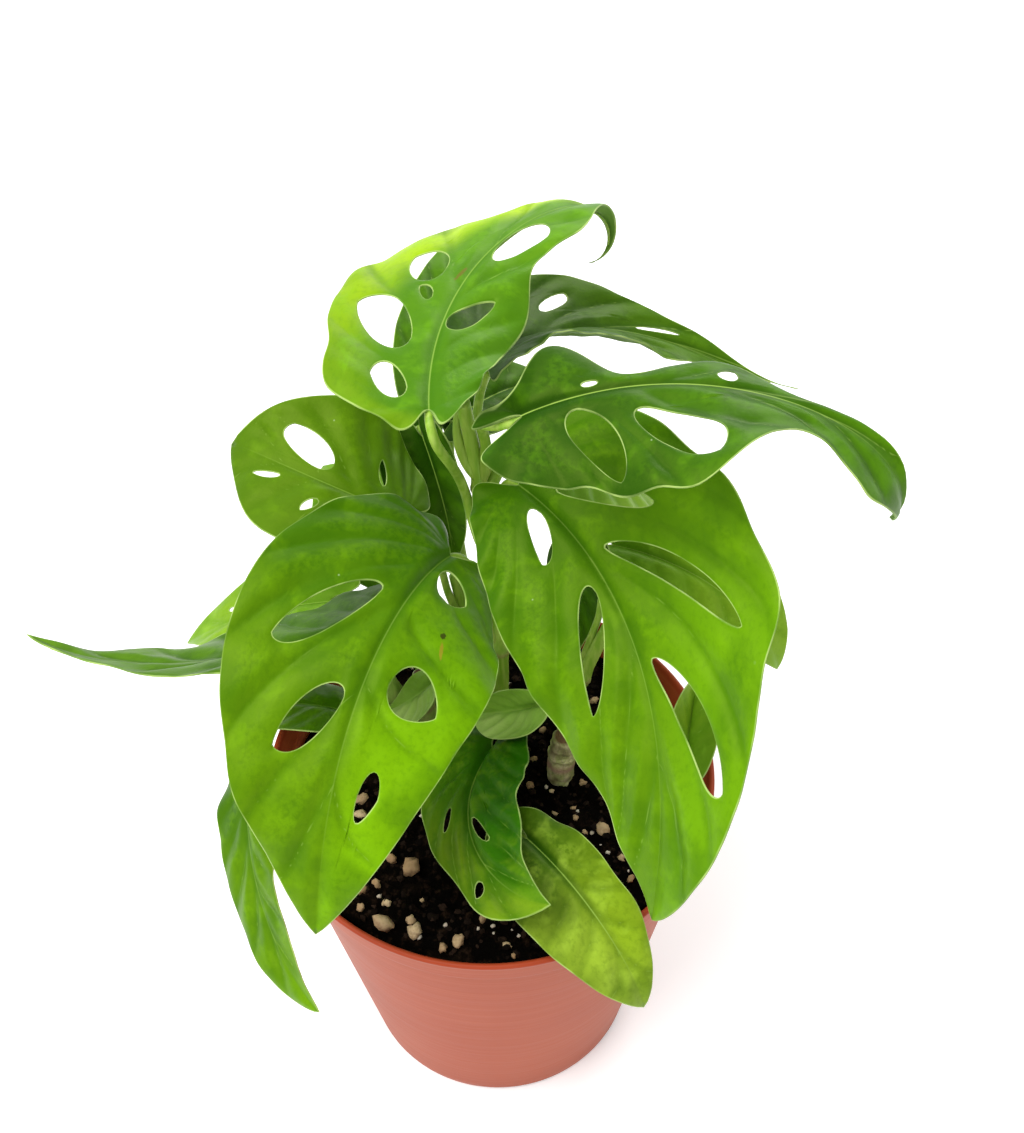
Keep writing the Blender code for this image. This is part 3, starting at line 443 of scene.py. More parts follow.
def cane_finish(look):
    """Old cane: mottled tan and green bark with pinkish nodes and fine cracks."""
    cane = Finish("mottled cane", specular_ior_level=0.2)
    place = cane.place()
    patch = cane.noise(place, 260.0, 4.0, 0.65)
    blotch = cane.noise(place, 110.0, 2.0)
    cane.colour = cane.mix(patch.between(0.4, 0.62), tuple(look.cane_green), tuple(look.cane_tan))
    cane.paint(blotch.between(0.52, 0.68) * 0.7, BARK_BLOTCH)
    cane.paint(cane.attribute("scar") * 0.8, BARK_NODE)
    cane.paint(cane.attribute("cut"), BARK_CUT)
    crack = cane.cells(cane.stretched(place, (1.0, 1.0, 0.5)), 700.0, "DISTANCE_TO_EDGE")
    return cane.done(0.6 + patch * 0.3, patch * 0.8 + crack.between(0.0, 0.1) * 0.3, 0.0006, 0.8)


# The last colour here is painted shade for the inside of the wall.
POT_RING, POT_SCUFF, POT_DOT, POT_INSIDE_SHADE = (
    (0.46, 0.145, 0.085), (0.55, 0.24, 0.16), (0.30, 0.06, 0.03), (0.22, 0.038, 0.015),
)


def pot_finish(look):
    """Moulded terracotta plastic: even colour, faint level rings, light scuffs, a deeper red on the lip as a
    painted reflection of the dark mix, and painted shade on the inside.
    """
    pot = Finish("terracotta plastic", specular_ior_level=0.14)
    place = pot.place()
    x, y, z = pot.apart(place)
    cloud = pot.noise(place, 14.0, 3.0)
    ring = pot.noise(pot.stretched(place, (6.0, 6.0, 420.0)), 1.0, 2.0, 0.6)
    scuff = pot.noise(pot.stretched(place, (40.0, 40.0, 700.0)), 1.0, 4.0, 0.7)
    radius = (x * x + y * y) ** 0.5
    lip = z.between(0.1098, 0.1112)
    inner = (radius - z * 0.15).between(0.0404, 0.0396)
    pot.colour = pot.mix(cloud.between(0.35, 0.7) * 0.6, tuple(look.pot_colour), tuple(look.pot_bright))
    pot.paint(ring.between(0.5, 0.75) * 0.22, POT_RING)
    pot.paint(scuff.between(0.66, 0.74) * 0.4, POT_SCUFF)
    pot.paint(pot.cells(place, 46.0).between(0.035, 0.02) * 0.5, POT_DOT)
    # Deeper red on the lip: a painted reflection of the dark mix.
    pot.paint(lip * 0.8, tuple(look.lip_colour))
    # Painted shade on the inside of the wall.
    pot.paint(inner * (1.0 - lip), POT_INSIDE_SHADE)
    rough = 0.38 + ring * 0.14 + scuff.between(0.6, 0.75) * 0.15
    return pot.done(rough, ring * 0.6 + scuff * 0.3, 0.00025, 0.5)


DRY_PEAT = (0.012, 0.007, 0.004)


def mix_finish(look):
    """Potting mix: near black with brown crumbs, dull."""
    mix = Finish("potting mix", specular_ior_level=0.02)
    place = mix.place()
    crumb = mix.noise(place, 420.0, 5.0, 0.7)
    mix.colour = mix.mix(crumb.between(0.5, 0.75), tuple(look.mix_colour), tuple(look.crumb_colour))
    mix.paint(mix.noise(place, 90.0, 2.0).between(0.55, 0.75) * 0.5, DRY_PEAT)
    return mix.done(0.8 + crumb * 0.2, crumb, 0.0012, 1.0)


def bits_finish(name, light, dark):
    """Loose bits: each one shaded a little differently, with pits."""
    bits = Finish(name, specular_ior_level=0.04)
    pit = bits.noise(bits.place(), 900.0, 3.0, 0.7)
    bits.colour = bits.mix(bits.attribute("tone"), dark, light)
    bits.paint(pit.between(0.55, 0.35) * 0.5, dark)
    return bits.done(0.7 + pit * 0.25, pit, 0.0005, 0.8)


# Stems


KNOT_SWELL, KNOT_WIDTH = 0.5, 2.2
RING_SWELL, RING_WIDTH = 0.22, 0.6
SCAR_WIDTH = 0.8
STEM_STEP = 0.7


def hole_floor(sizes):
    """Height at which a stem or stalk stands in its hole."""
    return (sizes.soil_top - sizes.hole_depth) / MM + HOLE_FLOOR


class Stem:
    """Climbing stem: upright in its soil hole, then one cubic curve that swells at its knots."""

    def __init__(self, name, root, controls, radius, top_radius, knots, sizes):
        self.name, self.root, self.radius, self.top_radius, self.knots = name, root, radius, top_radius, knots
        self.bottom = hole_floor(sizes)
        self.curve = bezier([(*root, sizes.soil_top / MM + FOOT), *controls], 81)

    def at(self, height):
        """Centre of the stem at a height, and its direction there."""
        i = int(np.clip(np.searchsorted(self.curve[:, 2], height), 1, len(self.curve) - 1))
        low, high = self.curve[i - 1], self.curve[i]
        f = (height - low[2]) / (high[2] - low[2])
        return low + (high - low) * f, (high - low) / np.linalg.norm(high - low)

    def radius_at(self, height):
        """Even taper with a bell-shaped swelling at each knot."""
        height = np.asarray(height, float)
        f = held((height - self.curve[0, 2]) / (self.curve[-1, 2] - self.curve[0, 2]))
        swell = sum((KNOT_SWELL * bell(height - knot, KNOT_WIDTH) for knot in self.knots), np.zeros_like(height))
        return self.radius + (self.top_radius - self.radius) * f + swell

    def shell(self):
        """Tube along the stem, with a sharp ring at each knot and a scar value there."""
        path = np.concatenate([[(*self.root, self.bottom)], self.curve])
        count = int((path[-1, 2] - path[0, 2]) / STEM_STEP)
        path, _ = resampled(path, self.radius_at(path[:, 2]), count)
        radii = self.radius_at(path[:, 2])
        for knot in self.knots:
            radii = radii + RING_SWELL * bell(path[:, 2] - knot, RING_WIDTH)
        points, triangles, values = tube(path, radii, 20, 0.02)
        near = np.min([np.abs(points[:, 2] - knot) for knot in self.knots], axis=0)
        values["scar"] = bell(near, SCAR_WIDTH)
        return points, triangles, values


STEMS = (
    ("stem_main", (2.0, 18.0), ((6, 17, 140), (2, 32, 175), (-3, 24, 219)), 2.4, 1.7, (118, 136, 190)),
    ("stem_left", (-14.0, 30.0), ((-14, 28, 120), (-18, 27, 135), (-20, 28, 150)), 2.1, 1.6, (120, 146)),
    ("stem_back", (-4.0, 42.0), ((-4, 42, 116), (-6, 44, 126), (-8, 47, 137)), 2.1, 1.7, (107,)),
    ("stem_right", (21.0, 16.0), ((22, 17, 116), (27, 20, 128), (36, 24, 148)), 2.2, 1.6, (112, 124)),
)
SHEATH = ((-0.8, 26.0, 194.0), (-3.3, 26.3, 198.5), (-5.8, 26.8, 206.0), (-4.3, 27.0, 216.0))
SHEATH_RADII = (1.2, 1.4, 1.5, 1.5, 1.4, 1.1, 0.8, 0.4)
STUB = ((0.3, 26.2, 186.0), (2.3, 27.2, 189.0), (5.0, 28.6, 194.0), (6.2, 29.2, 200.0))
STUB_RADII = (1.5, 1.9, 2.0, 2.0, 1.9)
STUMPS = (
    ("cut_stalk_left", (-24.0, 22.0), 3.0, (-4, -2, 22)),
    ("cut_stalk_middle", (-17.0, 20.0), 2.6, (-1, -1, 24)),
    ("old_cane", (19.0, 3.0), 3.6, (1, 1, 13)),
)
STUMP_GREEN, STUMP_PALE = (0.30, 0.48, 0.08), (0.55, 0.62, 0.20)


def side_branch(controls, radii, cut):
    """Short tube grown onto the main stem; cut marks its last ring as an old brown cut."""
    path, radii = resampled(bezier(controls, len(radii)), np.asarray(radii, float), 40)
    points, triangles, values = tube(path, radii, 16, 0.03)
    values["cut"] = (values["along"] > values["along"].max() - 0.9) * float(cut)
    return points, triangles, values


def stump_shell(root, radius, reach, sizes, knobbly):
    """Cut stalk or cane: upright in its hole, leaning by f to the power 1.5, narrowed unevenly, with a cut top.

    A knobbly one has two rings and a skin pushed out and in by value noise.
    """
    f = np.linspace(0.0, 1.0, 60)[:, None]
    lean = np.concatenate([f ** 1.5, f ** 1.5, f], 1)
    free = np.array([*root, sizes.soil_top / MM + FOOT]) + np.array(reach, float) * lean
    path = np.concatenate([[(*root, hole_floor(sizes))], free])
    steps = np.linspace(0, 1, len(path))
    swell = np.interp(steps, (0, 0.3, 0.45, 0.65, 0.85, 1.0), (1.0, 1.0, 0.94, 1.0, 0.9, 0.92))
    if knobbly:
        swell = swell + 0.16 * bell(steps - 0.55, 0.05) + 0.12 * bell(steps - 0.8, 0.04)
    points, triangles, values = tube(*resampled(path, radius * swell, 70), 22, 0.03)
    top = values["along"].max()
    values["cut"] = (values["along"] > top - 0.8) * 1.0
    values["scar"] = bell(values["along"] - 0.62 * top, 1.2)
    if knobbly:
        lump = value_noise(points[:, 0] * 2 + points[:, 2], points[:, 1] * 2 - points[:, 2], 3.0, 11)
        out = (points - np.array([*root, 0.0])) * (1, 1, 0)
        points = points + out / (np.linalg.norm(out, axis=1)[:, None] + 1e-6) * (0.35 * lump)[:, None]
    return points, triangles, values


# Leaves

FAN_END = 0.25
EDGE_PLACES = (0.30, 0.42, 0.54, 0.66, 0.78, 0.90)
EDGE_REACH = 0.07
NO_EDGE = (0, 0, 0, 0, 0, 0)
RIB_STEPS = 64
STALK_GAP = 0.6  # between a stalk and the stem that it runs down beside
SMALLEST_HOLE = 0.03
VEIN_STEP = 0.1
Hole = namedtuple("Hole", "side t_in b_in t_out b_out back front")


class Leaf:
    """One leaf blade with its stalk, on the same formulas as the part's own leaf, with a finer grid and relief.

    The flat blade is a grid of rows t (0 at the joint, 1 at the tip) and reaches b (0 at the rib, 1 at the
    margin). Rows fan out from the joint and then leave the rib one after another; the margin is a power of a
    sine, moved out or in by its edge steps at EDGE_PLACES. A hole is a slit in a row, from (t_in, b_in) to
    (t_out, b_out), that opens back and forward. The rib turns, rises and twists evenly along its length, snap
    bends its tip, and each half is a shallow arc about it. waves are (height, count, start) of the margin's even
    waves. A stalk is ("soil", place, pull, lift) or (stem, height, direction, pull).
    """

    def __init__(self, name, joint, heading, rise, bank, turn, arch, twist,
                 length, left, right, lobe, fold, curl, peak, taper, stalk, tone,
                 left_edge=NO_EDGE, right_edge=NO_EDGE, holes=(), waves=(0.0, 0.0, 0.0),
                 stalk_radius=1.3, spots=(), snap=0.0, furl=0.0, crumple=1.0):
        self.name, self.joint, self.seed = name, np.array(joint, float), sum(map(ord, name))
        self.heading, self.rise, self.bank = heading, rise, bank
        self.turn, self.arch, self.twist, self.snap = turn, arch, twist, snap
        self.length, self.left, self.right, self.lobe = length, left, right, lobe
        self.fold, self.curl, self.peak, self.taper = fold, curl, peak, taper
        self.left_edge, self.right_edge = left_edge, right_edge
        self.holes, self.waves = [Hole(*hole) for hole in holes], waves
        self.stalk, self.stalk_radius, self.tone, self.spots = stalk, stalk_radius, tone, spots
        self.furl, self.crumple = furl, crumple
        self.make_rib()

    def make_rib(self):
        """Rib points and the two directions square to it, in even steps of length."""
        u = np.linspace(0.0, 1.0, RIB_STEPS + 1)
        heading = np.radians(self.heading + self.turn * u)
        rise = np.radians(self.rise + self.arch * u + self.snap * u ** 8)
        bank = np.radians(self.bank + self.twist * u)[:, None]
        along = np.stack([np.cos(rise) * np.cos(heading), np.cos(rise) * np.sin(heading), np.sin(rise)], 1)
        up = np.stack([-np.sin(rise) * np.cos(heading), -np.sin(rise) * np.sin(heading), np.cos(rise)], 1)
        side = np.cross(along, up)
        middle = (along[1:] + along[:-1]) / 2 * (self.length / RIB_STEPS)
        points = np.concatenate([np.zeros((1, 3)), np.cumsum(middle, axis=0)]) + self.joint
        across = side * np.cos(bank) + up * np.sin(bank)
        self.rib = (u, points, along, across, up * np.cos(bank) - side * np.sin(bank))

    def rib_at(self, x):
        """Rib point and directions at a distance along the rib."""
        u, *rest = self.rib
        s = np.clip(x / self.length, 0.0, 1.0)
        return [np.stack([np.interp(s, u, a[:, k]) for k in range(3)], -1) for a in rest]

    def width(self, side):
        return np.where(side < 0, self.left, self.right)

    def outline(self, t, side):
        """Margin of the flat blade: distance along the rib and out from it."""
        along = -self.lobe * (1 - bell(t, 0.07))
        along = along + (self.length + self.lobe) * (1 - np.cos(np.pi * t / 2))
        out = self.width(side) * np.sin(np.pi * np.clip(t, 0, 1) ** self.peak) ** 0.85
        out = out * (1 - self.taper * t ** 6)
        for place, left, right in zip(EDGE_PLACES, self.left_edge, self.right_edge):
            out = out + np.where(side < 0, left, right) * bell(t - place, EDGE_REACH)
        return along, out

    def flat(self, t, b, side):
        """Flat place of row t and reach b."""
        rib = self.length * held((t - FAN_END) / (1 - FAN_END)) ** 1.9
        along, out = self.outline(t, side)
        return rib + (along - rib) * b ** 1.35, out * b

    def bend(self, x, y, side, ripple, lift):
        """Bent place: each half leaves the rib at the fold angle and curls back towards the margin.

        ripple raises it along the rib's own upward direction, lift square to the bent half. furl rolls a young
        margin up by that many degrees, as the square of the reach.
        """
        point, along, across, up = self.rib_at(x)
        point = point + along * np.minimum(x, 0.0)[..., None]
        reach = y / self.width(side)
        angle = np.radians(self.fold - 0.5 * self.curl * reach + self.furl * held(reach) ** 2)
        sideways = side * (y * np.cos(angle) - lift * np.sin(angle))
        upward = y * np.sin(angle) + lift * np.cos(angle) + ripple
        return point + across * sideways[..., None] + up * upward[..., None]

    def side_holes(self, side):
        """Holes of one side, from the joint to the tip."""
        return sorted((h for h in self.holes if h.side == side), key=lambda h: h.t_in + h.t_out)

    def slits(self, side, rows, columns):
        """Holes of one side as slits: row, first and last column, and the hole."""
        found = []
        row = 0
        for hole in self.side_holes(side):
            row = min(max(int(round((hole.t_in + hole.t_out) / 2 * rows)), row + 4), rows - 4)
            first = max(2, int(round(hole.b_in * columns)))
            end = min(columns - 2, max(first + 6, int(round(hole.b_out * columns))))
            found.append((row, first, end, hole))
        return found

    def side_grid(self, side, rows, columns):
        """Places (t, b) before and after each row; columns crowd towards both ends of a slit."""
        even = np.arange(columns + 1) / columns
        keys = [(0, np.zeros(columns + 1), np.zeros(columns + 1), even)]
        for row, first, end, (_, t_in, b_in, t_out, b_out, back, front) in self.slits(side, rows, columns):
            k = np.arange(columns + 1)
            s = held((k - first) / (end - first))
            crowded = (1 - np.cos(np.pi * s)) / 2 * 0.7 + s * 0.3
            inside = b_in + (b_out - b_in) * crowded
            reach = np.where(k <= first, b_in * k / first, inside)
            reach = np.where(k >= end, b_out + (1 - b_out) * (k - end) / (columns - end), reach)
            place = np.interp(reach, [0, b_in, b_out, 1], [row / rows, t_in, t_out, t_out])
            u = held((reach - b_in) / (b_out - b_in))
            shape = u ** 0.55 * (1 - u) ** 0.75 / 0.41
            keys.append((row, place - back * shape, place + front * shape, reach))
        keys.append((rows, np.ones(columns + 1), np.ones(columns + 1), even))
        before, after, reach = np.zeros((3, rows + 1, columns + 1))
        for (row, _, start, b0), (end, stop, _, b1) in zip(keys[:-1], keys[1:]):
            f = (np.arange(row, end + 1) - row)[:, None] / (end - row)
            t = start + (stop - start) * f
            before[row + 1:end + 1] = t[1:]
            after[row:end] = t[:-1]
            reach[row:end + 1] = b0 + (b1 - b0) * f
        before[0], after[rows] = after[0], before[rows]
        return before, after, reach

    def side_veins(self, side):
        """Side veins of one half as (place, lean): between two holes, and in even steps of an open stretch."""
        wide = [h for h in self.side_holes(side) if h.back + h.front > SMALLEST_HOLE]
        stops = [0.02, *((h.t_in + h.t_out) / 2 for h in wide), 0.97]
        leans = [0.0, *((h.t_out - h.t_in) / (h.b_out - h.b_in) for h in wide), 0.0]
        found = []
        for n in range(len(stops) - 1):
            count = max(1, int(round((stops[n + 1] - stops[n]) / VEIN_STEP)) - (0 < n < len(stops) - 2))
            for k in range(count):
                f = (k + 0.5) / count
                place = stops[n] * (1 - f) + stops[n + 1] * f
                found.append((place, leans[n] * (1 - f) + leans[n + 1] * f))
        return found

    def sheet(self, rows, columns):
        """Middle surface of both halves: rows, reaches and sides of its points, and triangles.

        Point 0 is the joint, point 1 the tip. The halves share the rib's points, and a slit has its points twice.
        """
        i, k = np.meshgrid(np.arange(rows + 1), np.arange(columns + 1), indexing="ij")
        size = (rows + 1) * (columns + 1)
        place, key_list, triangles = [], [], []
        for n, side in enumerate((-1, 1)):
            before, after, reach = self.side_grid(side, rows, columns)
            early = 2 + n * 2 * size + i * (columns + 1) + k
            late = early.copy()
            for row, first, end, *_ in self.slits(side, rows, columns):
                late[row, first + 1:end] += size
            on_rib = 2 + i * (columns + 1)
            early, late = np.where(k == 0, on_rib, early), np.where(k == 0, on_rib, late)
            joint = (i == 0) | ((k == 0) & (i <= FAN_END * rows))
            early, late = np.where(joint, 0, early), np.where(joint, 0, late)
            early, late = np.where(i == rows, 1, early), np.where(i == rows, 1, late)
            for key, t in ((early, before), (late, after)):
                t = np.where(k == 0, i / rows, t)
                key_list.append(key.ravel())
                place.append(np.stack([t.ravel(), reach.ravel(), np.full(key.size, float(side))], 1))
            a, b = late[:-1, :-1].ravel(), late[:-1, 1:].ravel()
            d, c = early[1:, :-1].ravel(), early[1:, 1:].ravel()
            both = np.concatenate([np.stack([a, b, c], 1), np.stack([a, c, d], 1)])
            triangles.append(both if side > 0 else both[:, ::-1])
        keys, first = np.unique(np.concatenate(key_list), return_index=True)
        place = np.concatenate(place)[first]
        place[keys == 0] = (0.0, 0.0, 1.0)
        place[keys == 1] = (1.0, 0.0, 1.0)
        triangles = np.searchsorted(keys, np.concatenate(triangles))
        same = (triangles[:, 0] == triangles[:, 1]) | (triangles[:, 1] == triangles[:, 2])
        same |= triangles[:, 0] == triangles[:, 2]
        triangles = triangles[~same]
        used = np.unique(triangles)
        return place[used], np.searchsorted(used, triangles)

    def vein_distance(self, t, b, side):
        """Millimetres to the nearest side vein, where a vein keeps one row: t = place + lean * (b - 0.4).

        Near the rib it also drops back by 0.06 * (1 - b) cubed, so that it leaves the rib at a slant. The step
        between rows is turned into millimetres square to the vein by the flat blade's own slopes. Close to the
        joint the distance is raised, so that the veins fade out there.
        """
        step = 0.01
        x0, y0 = self.flat(held(t - step), b, side)
        x1, y1 = self.flat(held(t + step), b, side)
        xa, ya = self.flat(t, held(b - step), side)
        xb, yb = self.flat(t, held(b + step), side)
        row_x, row_y = (x1 - x0) / (2 * step), (y1 - y0) / (2 * step)
        reach_x, reach_y = (xb - xa) / (2 * step), (yb - ya) / (2 * step)
        distance = np.full(len(t), 99.0)
        for flank in (-1, 1):
            for place, lean in self.side_veins(flank):
                slope = lean + 0.18 * (1 - b) ** 2
                run_x, run_y = reach_x + slope * row_x, reach_y + slope * row_y
                gap = np.abs(row_x * run_y - row_y * run_x) / (np.hypot(run_x, run_y) + 1e-6)
                away = np.abs(t - place - lean * (b - 0.4) + 0.06 * (1 - b) ** 3) * gap
                distance = np.where((side == flank) & (away < distance), away, distance)
        x, y = self.flat(t, b, side)
        return distance + 5.0 * held(1.0 - np.hypot(x, y) / (0.38 * self.length))

    def edge_distance(self, flat, triangles):
        """Millimetres on the flat blade to the nearest margin or hole edge, as point to segment."""
        edges = np.concatenate([triangles[:, [0, 1]], triangles[:, [1, 2]], triangles[:, [2, 0]]])
        key = np.sort(edges, axis=1)
        _, index, count = np.unique(key, axis=0, return_index=True, return_counts=True)
        border = edges[index[count == 1]]
        start, run = flat[border[:, 0]], flat[border[:, 1]] - flat[border[:, 0]]
        square = (run ** 2).sum(1) + 1e-9
        distance = []
        for points in np.array_split(flat, len(flat) // 1500 + 1):
            part = points[:, None] - start[None]
            f = held((part * run[None]).sum(2) / square)
            distance.append(np.sqrt(((part - run[None] * f[..., None]) ** 2).sum(2)).min(1))
        return np.concatenate(distance), border

    def relief(self, x, y, rib, vein, edge, look):
        """Heights in millimetres: a grooved rib between low shoulders, grooved side veins and puffed skin between.

        Two sizes of seeded value noise over the flat blade make it a little uneven.
        """
        tip = held(1.15 - x / self.length)
        inner = held(edge / 5.0) ** 0.7
        groove = -0.45 * tip * bell(rib, 0.9) + 0.3 * tip * bell(rib - 2.6, 1.7)
        puff = inner * (1 - bell(vein, 3.0)) * held(rib / 4.0)
        side_groove = -look.vein_depth / MM * inner * bell(vein, 1.0) * held(rib / 2.0)
        uneven = 0.55 * value_noise(x, y, 11.0, self.seed) + 0.2 * value_noise(x, y, 4.5, self.seed + 1)
        small = min(1.0, self.length / 60.0) * self.crumple
        rise = look.quilting / MM * (puff - 0.5 * inner * held(rib / 4.0))
        return (groove + side_groove + rise + uneven * held(rib / 3.0)) * small, puff

    def blade(self, look):
        """Closed blade: relief on both faces, thinner towards every edge, with waves in the margin."""
        rows = max(36, int(self.length * look.grid))
        columns = max(14, int(max(self.left, self.right) * look.grid * 1.15))
        place, triangles = self.sheet(rows, columns)
        t, b, side = place.T
        x, y = self.flat(t, b, side)
        rib = np.where(x < 0, np.hypot(x, y), y)
        flat = np.stack([x, y * side], 1)
        edge, border = self.edge_distance(flat, triangles)
        vein = self.vein_distance(t, b, side)
        size, count, phase = self.waves
        ripple = size * b ** 2 * np.sin(2 * np.pi * count * t + phase + side) * np.sin(np.pi * t)
        along = self.length * t * 1.3
        ruffle = value_noise(along, side * 40.0, look.wave_length / MM, self.seed + 2)
        ripple = ripple + look.wave_height / MM * b ** 3 * np.sin(np.pi * t) ** 0.5 * ruffle
        y = y * (1 + look.wobble * b ** 3 * value_noise(along, side * 40.0, 9.0, self.seed + 3))
        lift, puff = self.relief(x, y * side, rib, vein, edge, look)
        thick = look.blade_thickness / MM / 2 * (0.5 + 0.5 * held(edge / 1.2) ** 0.5)
        top = self.bend(x, y, side, ripple, lift + thick)
        bottom = self.bend(x, y, side, ripple, lift - thick)
        count = len(top)
        wall = np.concatenate([
            np.stack([border[:, 1], border[:, 0], border[:, 0] + count], 1),
            np.stack([border[:, 1], border[:, 0] + count, border[:, 1] + count], 1),
        ])
        faces = np.concatenate([triangles, triangles[:, ::-1] + count, wall])
        once = {
            "edge": edge, "rib": rib, "vein": vein, "half": b * side, "share": x / self.length, "puff": puff,
        }
        values = {key: np.concatenate([v, v]) for key, v in once.items()}
        values["upper"] = np.concatenate([np.ones(count), np.zeros(count)])
        return np.concatenate([top, bottom]), faces, values, np.concatenate([flat, flat]) / FLAT_UNIT

    def stalk_shell(self, stems, sizes):
        """Rib ridge under the blade, then the stalk in one cubic curve to a stem's flank or the soil."""
        radius = self.stalk_radius
        if self.stalk[0] == "soil":
            _, place, pull, lift = self.stalk
            direction = np.array([0.0, 0.0, 1.0])
            root = np.array([*place, sizes.soil_top / MM + 2.0])
            run, run_radii = [np.array([*place, hole_floor(sizes)])], [radius]
        else:
            name, height, facing, pull = self.stalk
            stem, lift = stems[name], 0.0
            out = np.array([math.cos(math.radians(facing)), math.sin(math.radians(facing)), 0.0])
            centre, direction = stem.at(height)
            offset = float(stem.radius_at(height)) + radius + STALK_GAP
            root = centre + out * offset
            run = [stem.at(height - 9)[0] + out * offset * 0.62, stem.at(height - 13)[0] + out * offset * 0.2]
            run_radii = [radius * 1.25, radius * 1.1]
        shares = np.linspace(0.93, 0.03, 24)
        under = [self.rib_at(np.array(s * self.length)) for s in shares]
        slim = 0.22 + 0.55 * (1 - shares) ** 1.5
        ridge = [u[0] - u[3] * (r + 0.4) for u, r in zip(under, slim)]
        point, along, _, up = self.rib_at(np.array(0.0))
        start = point - up * (radius * 0.8)
        distance = np.linalg.norm(start - root)
        first = start - along * distance * pull + np.array([0.0, 0.0, lift])
        second = root + direction * distance * 0.4
        curve = bezier([start - up * 0.5, first, second, root], 40)
        path = np.array([*ridge, *curve, *run])
        radii = np.array([*slim, *(np.linspace(0.85, 1.0, 40) * radius), *run_radii])
        points, triangles, values = tube(*resampled(path, radii, 110), 14, 0.02)
        values["scar"] = held((values["along"] - values["along"].max() + 14.0) / 8.0) * 0.25
        return points, triangles, values


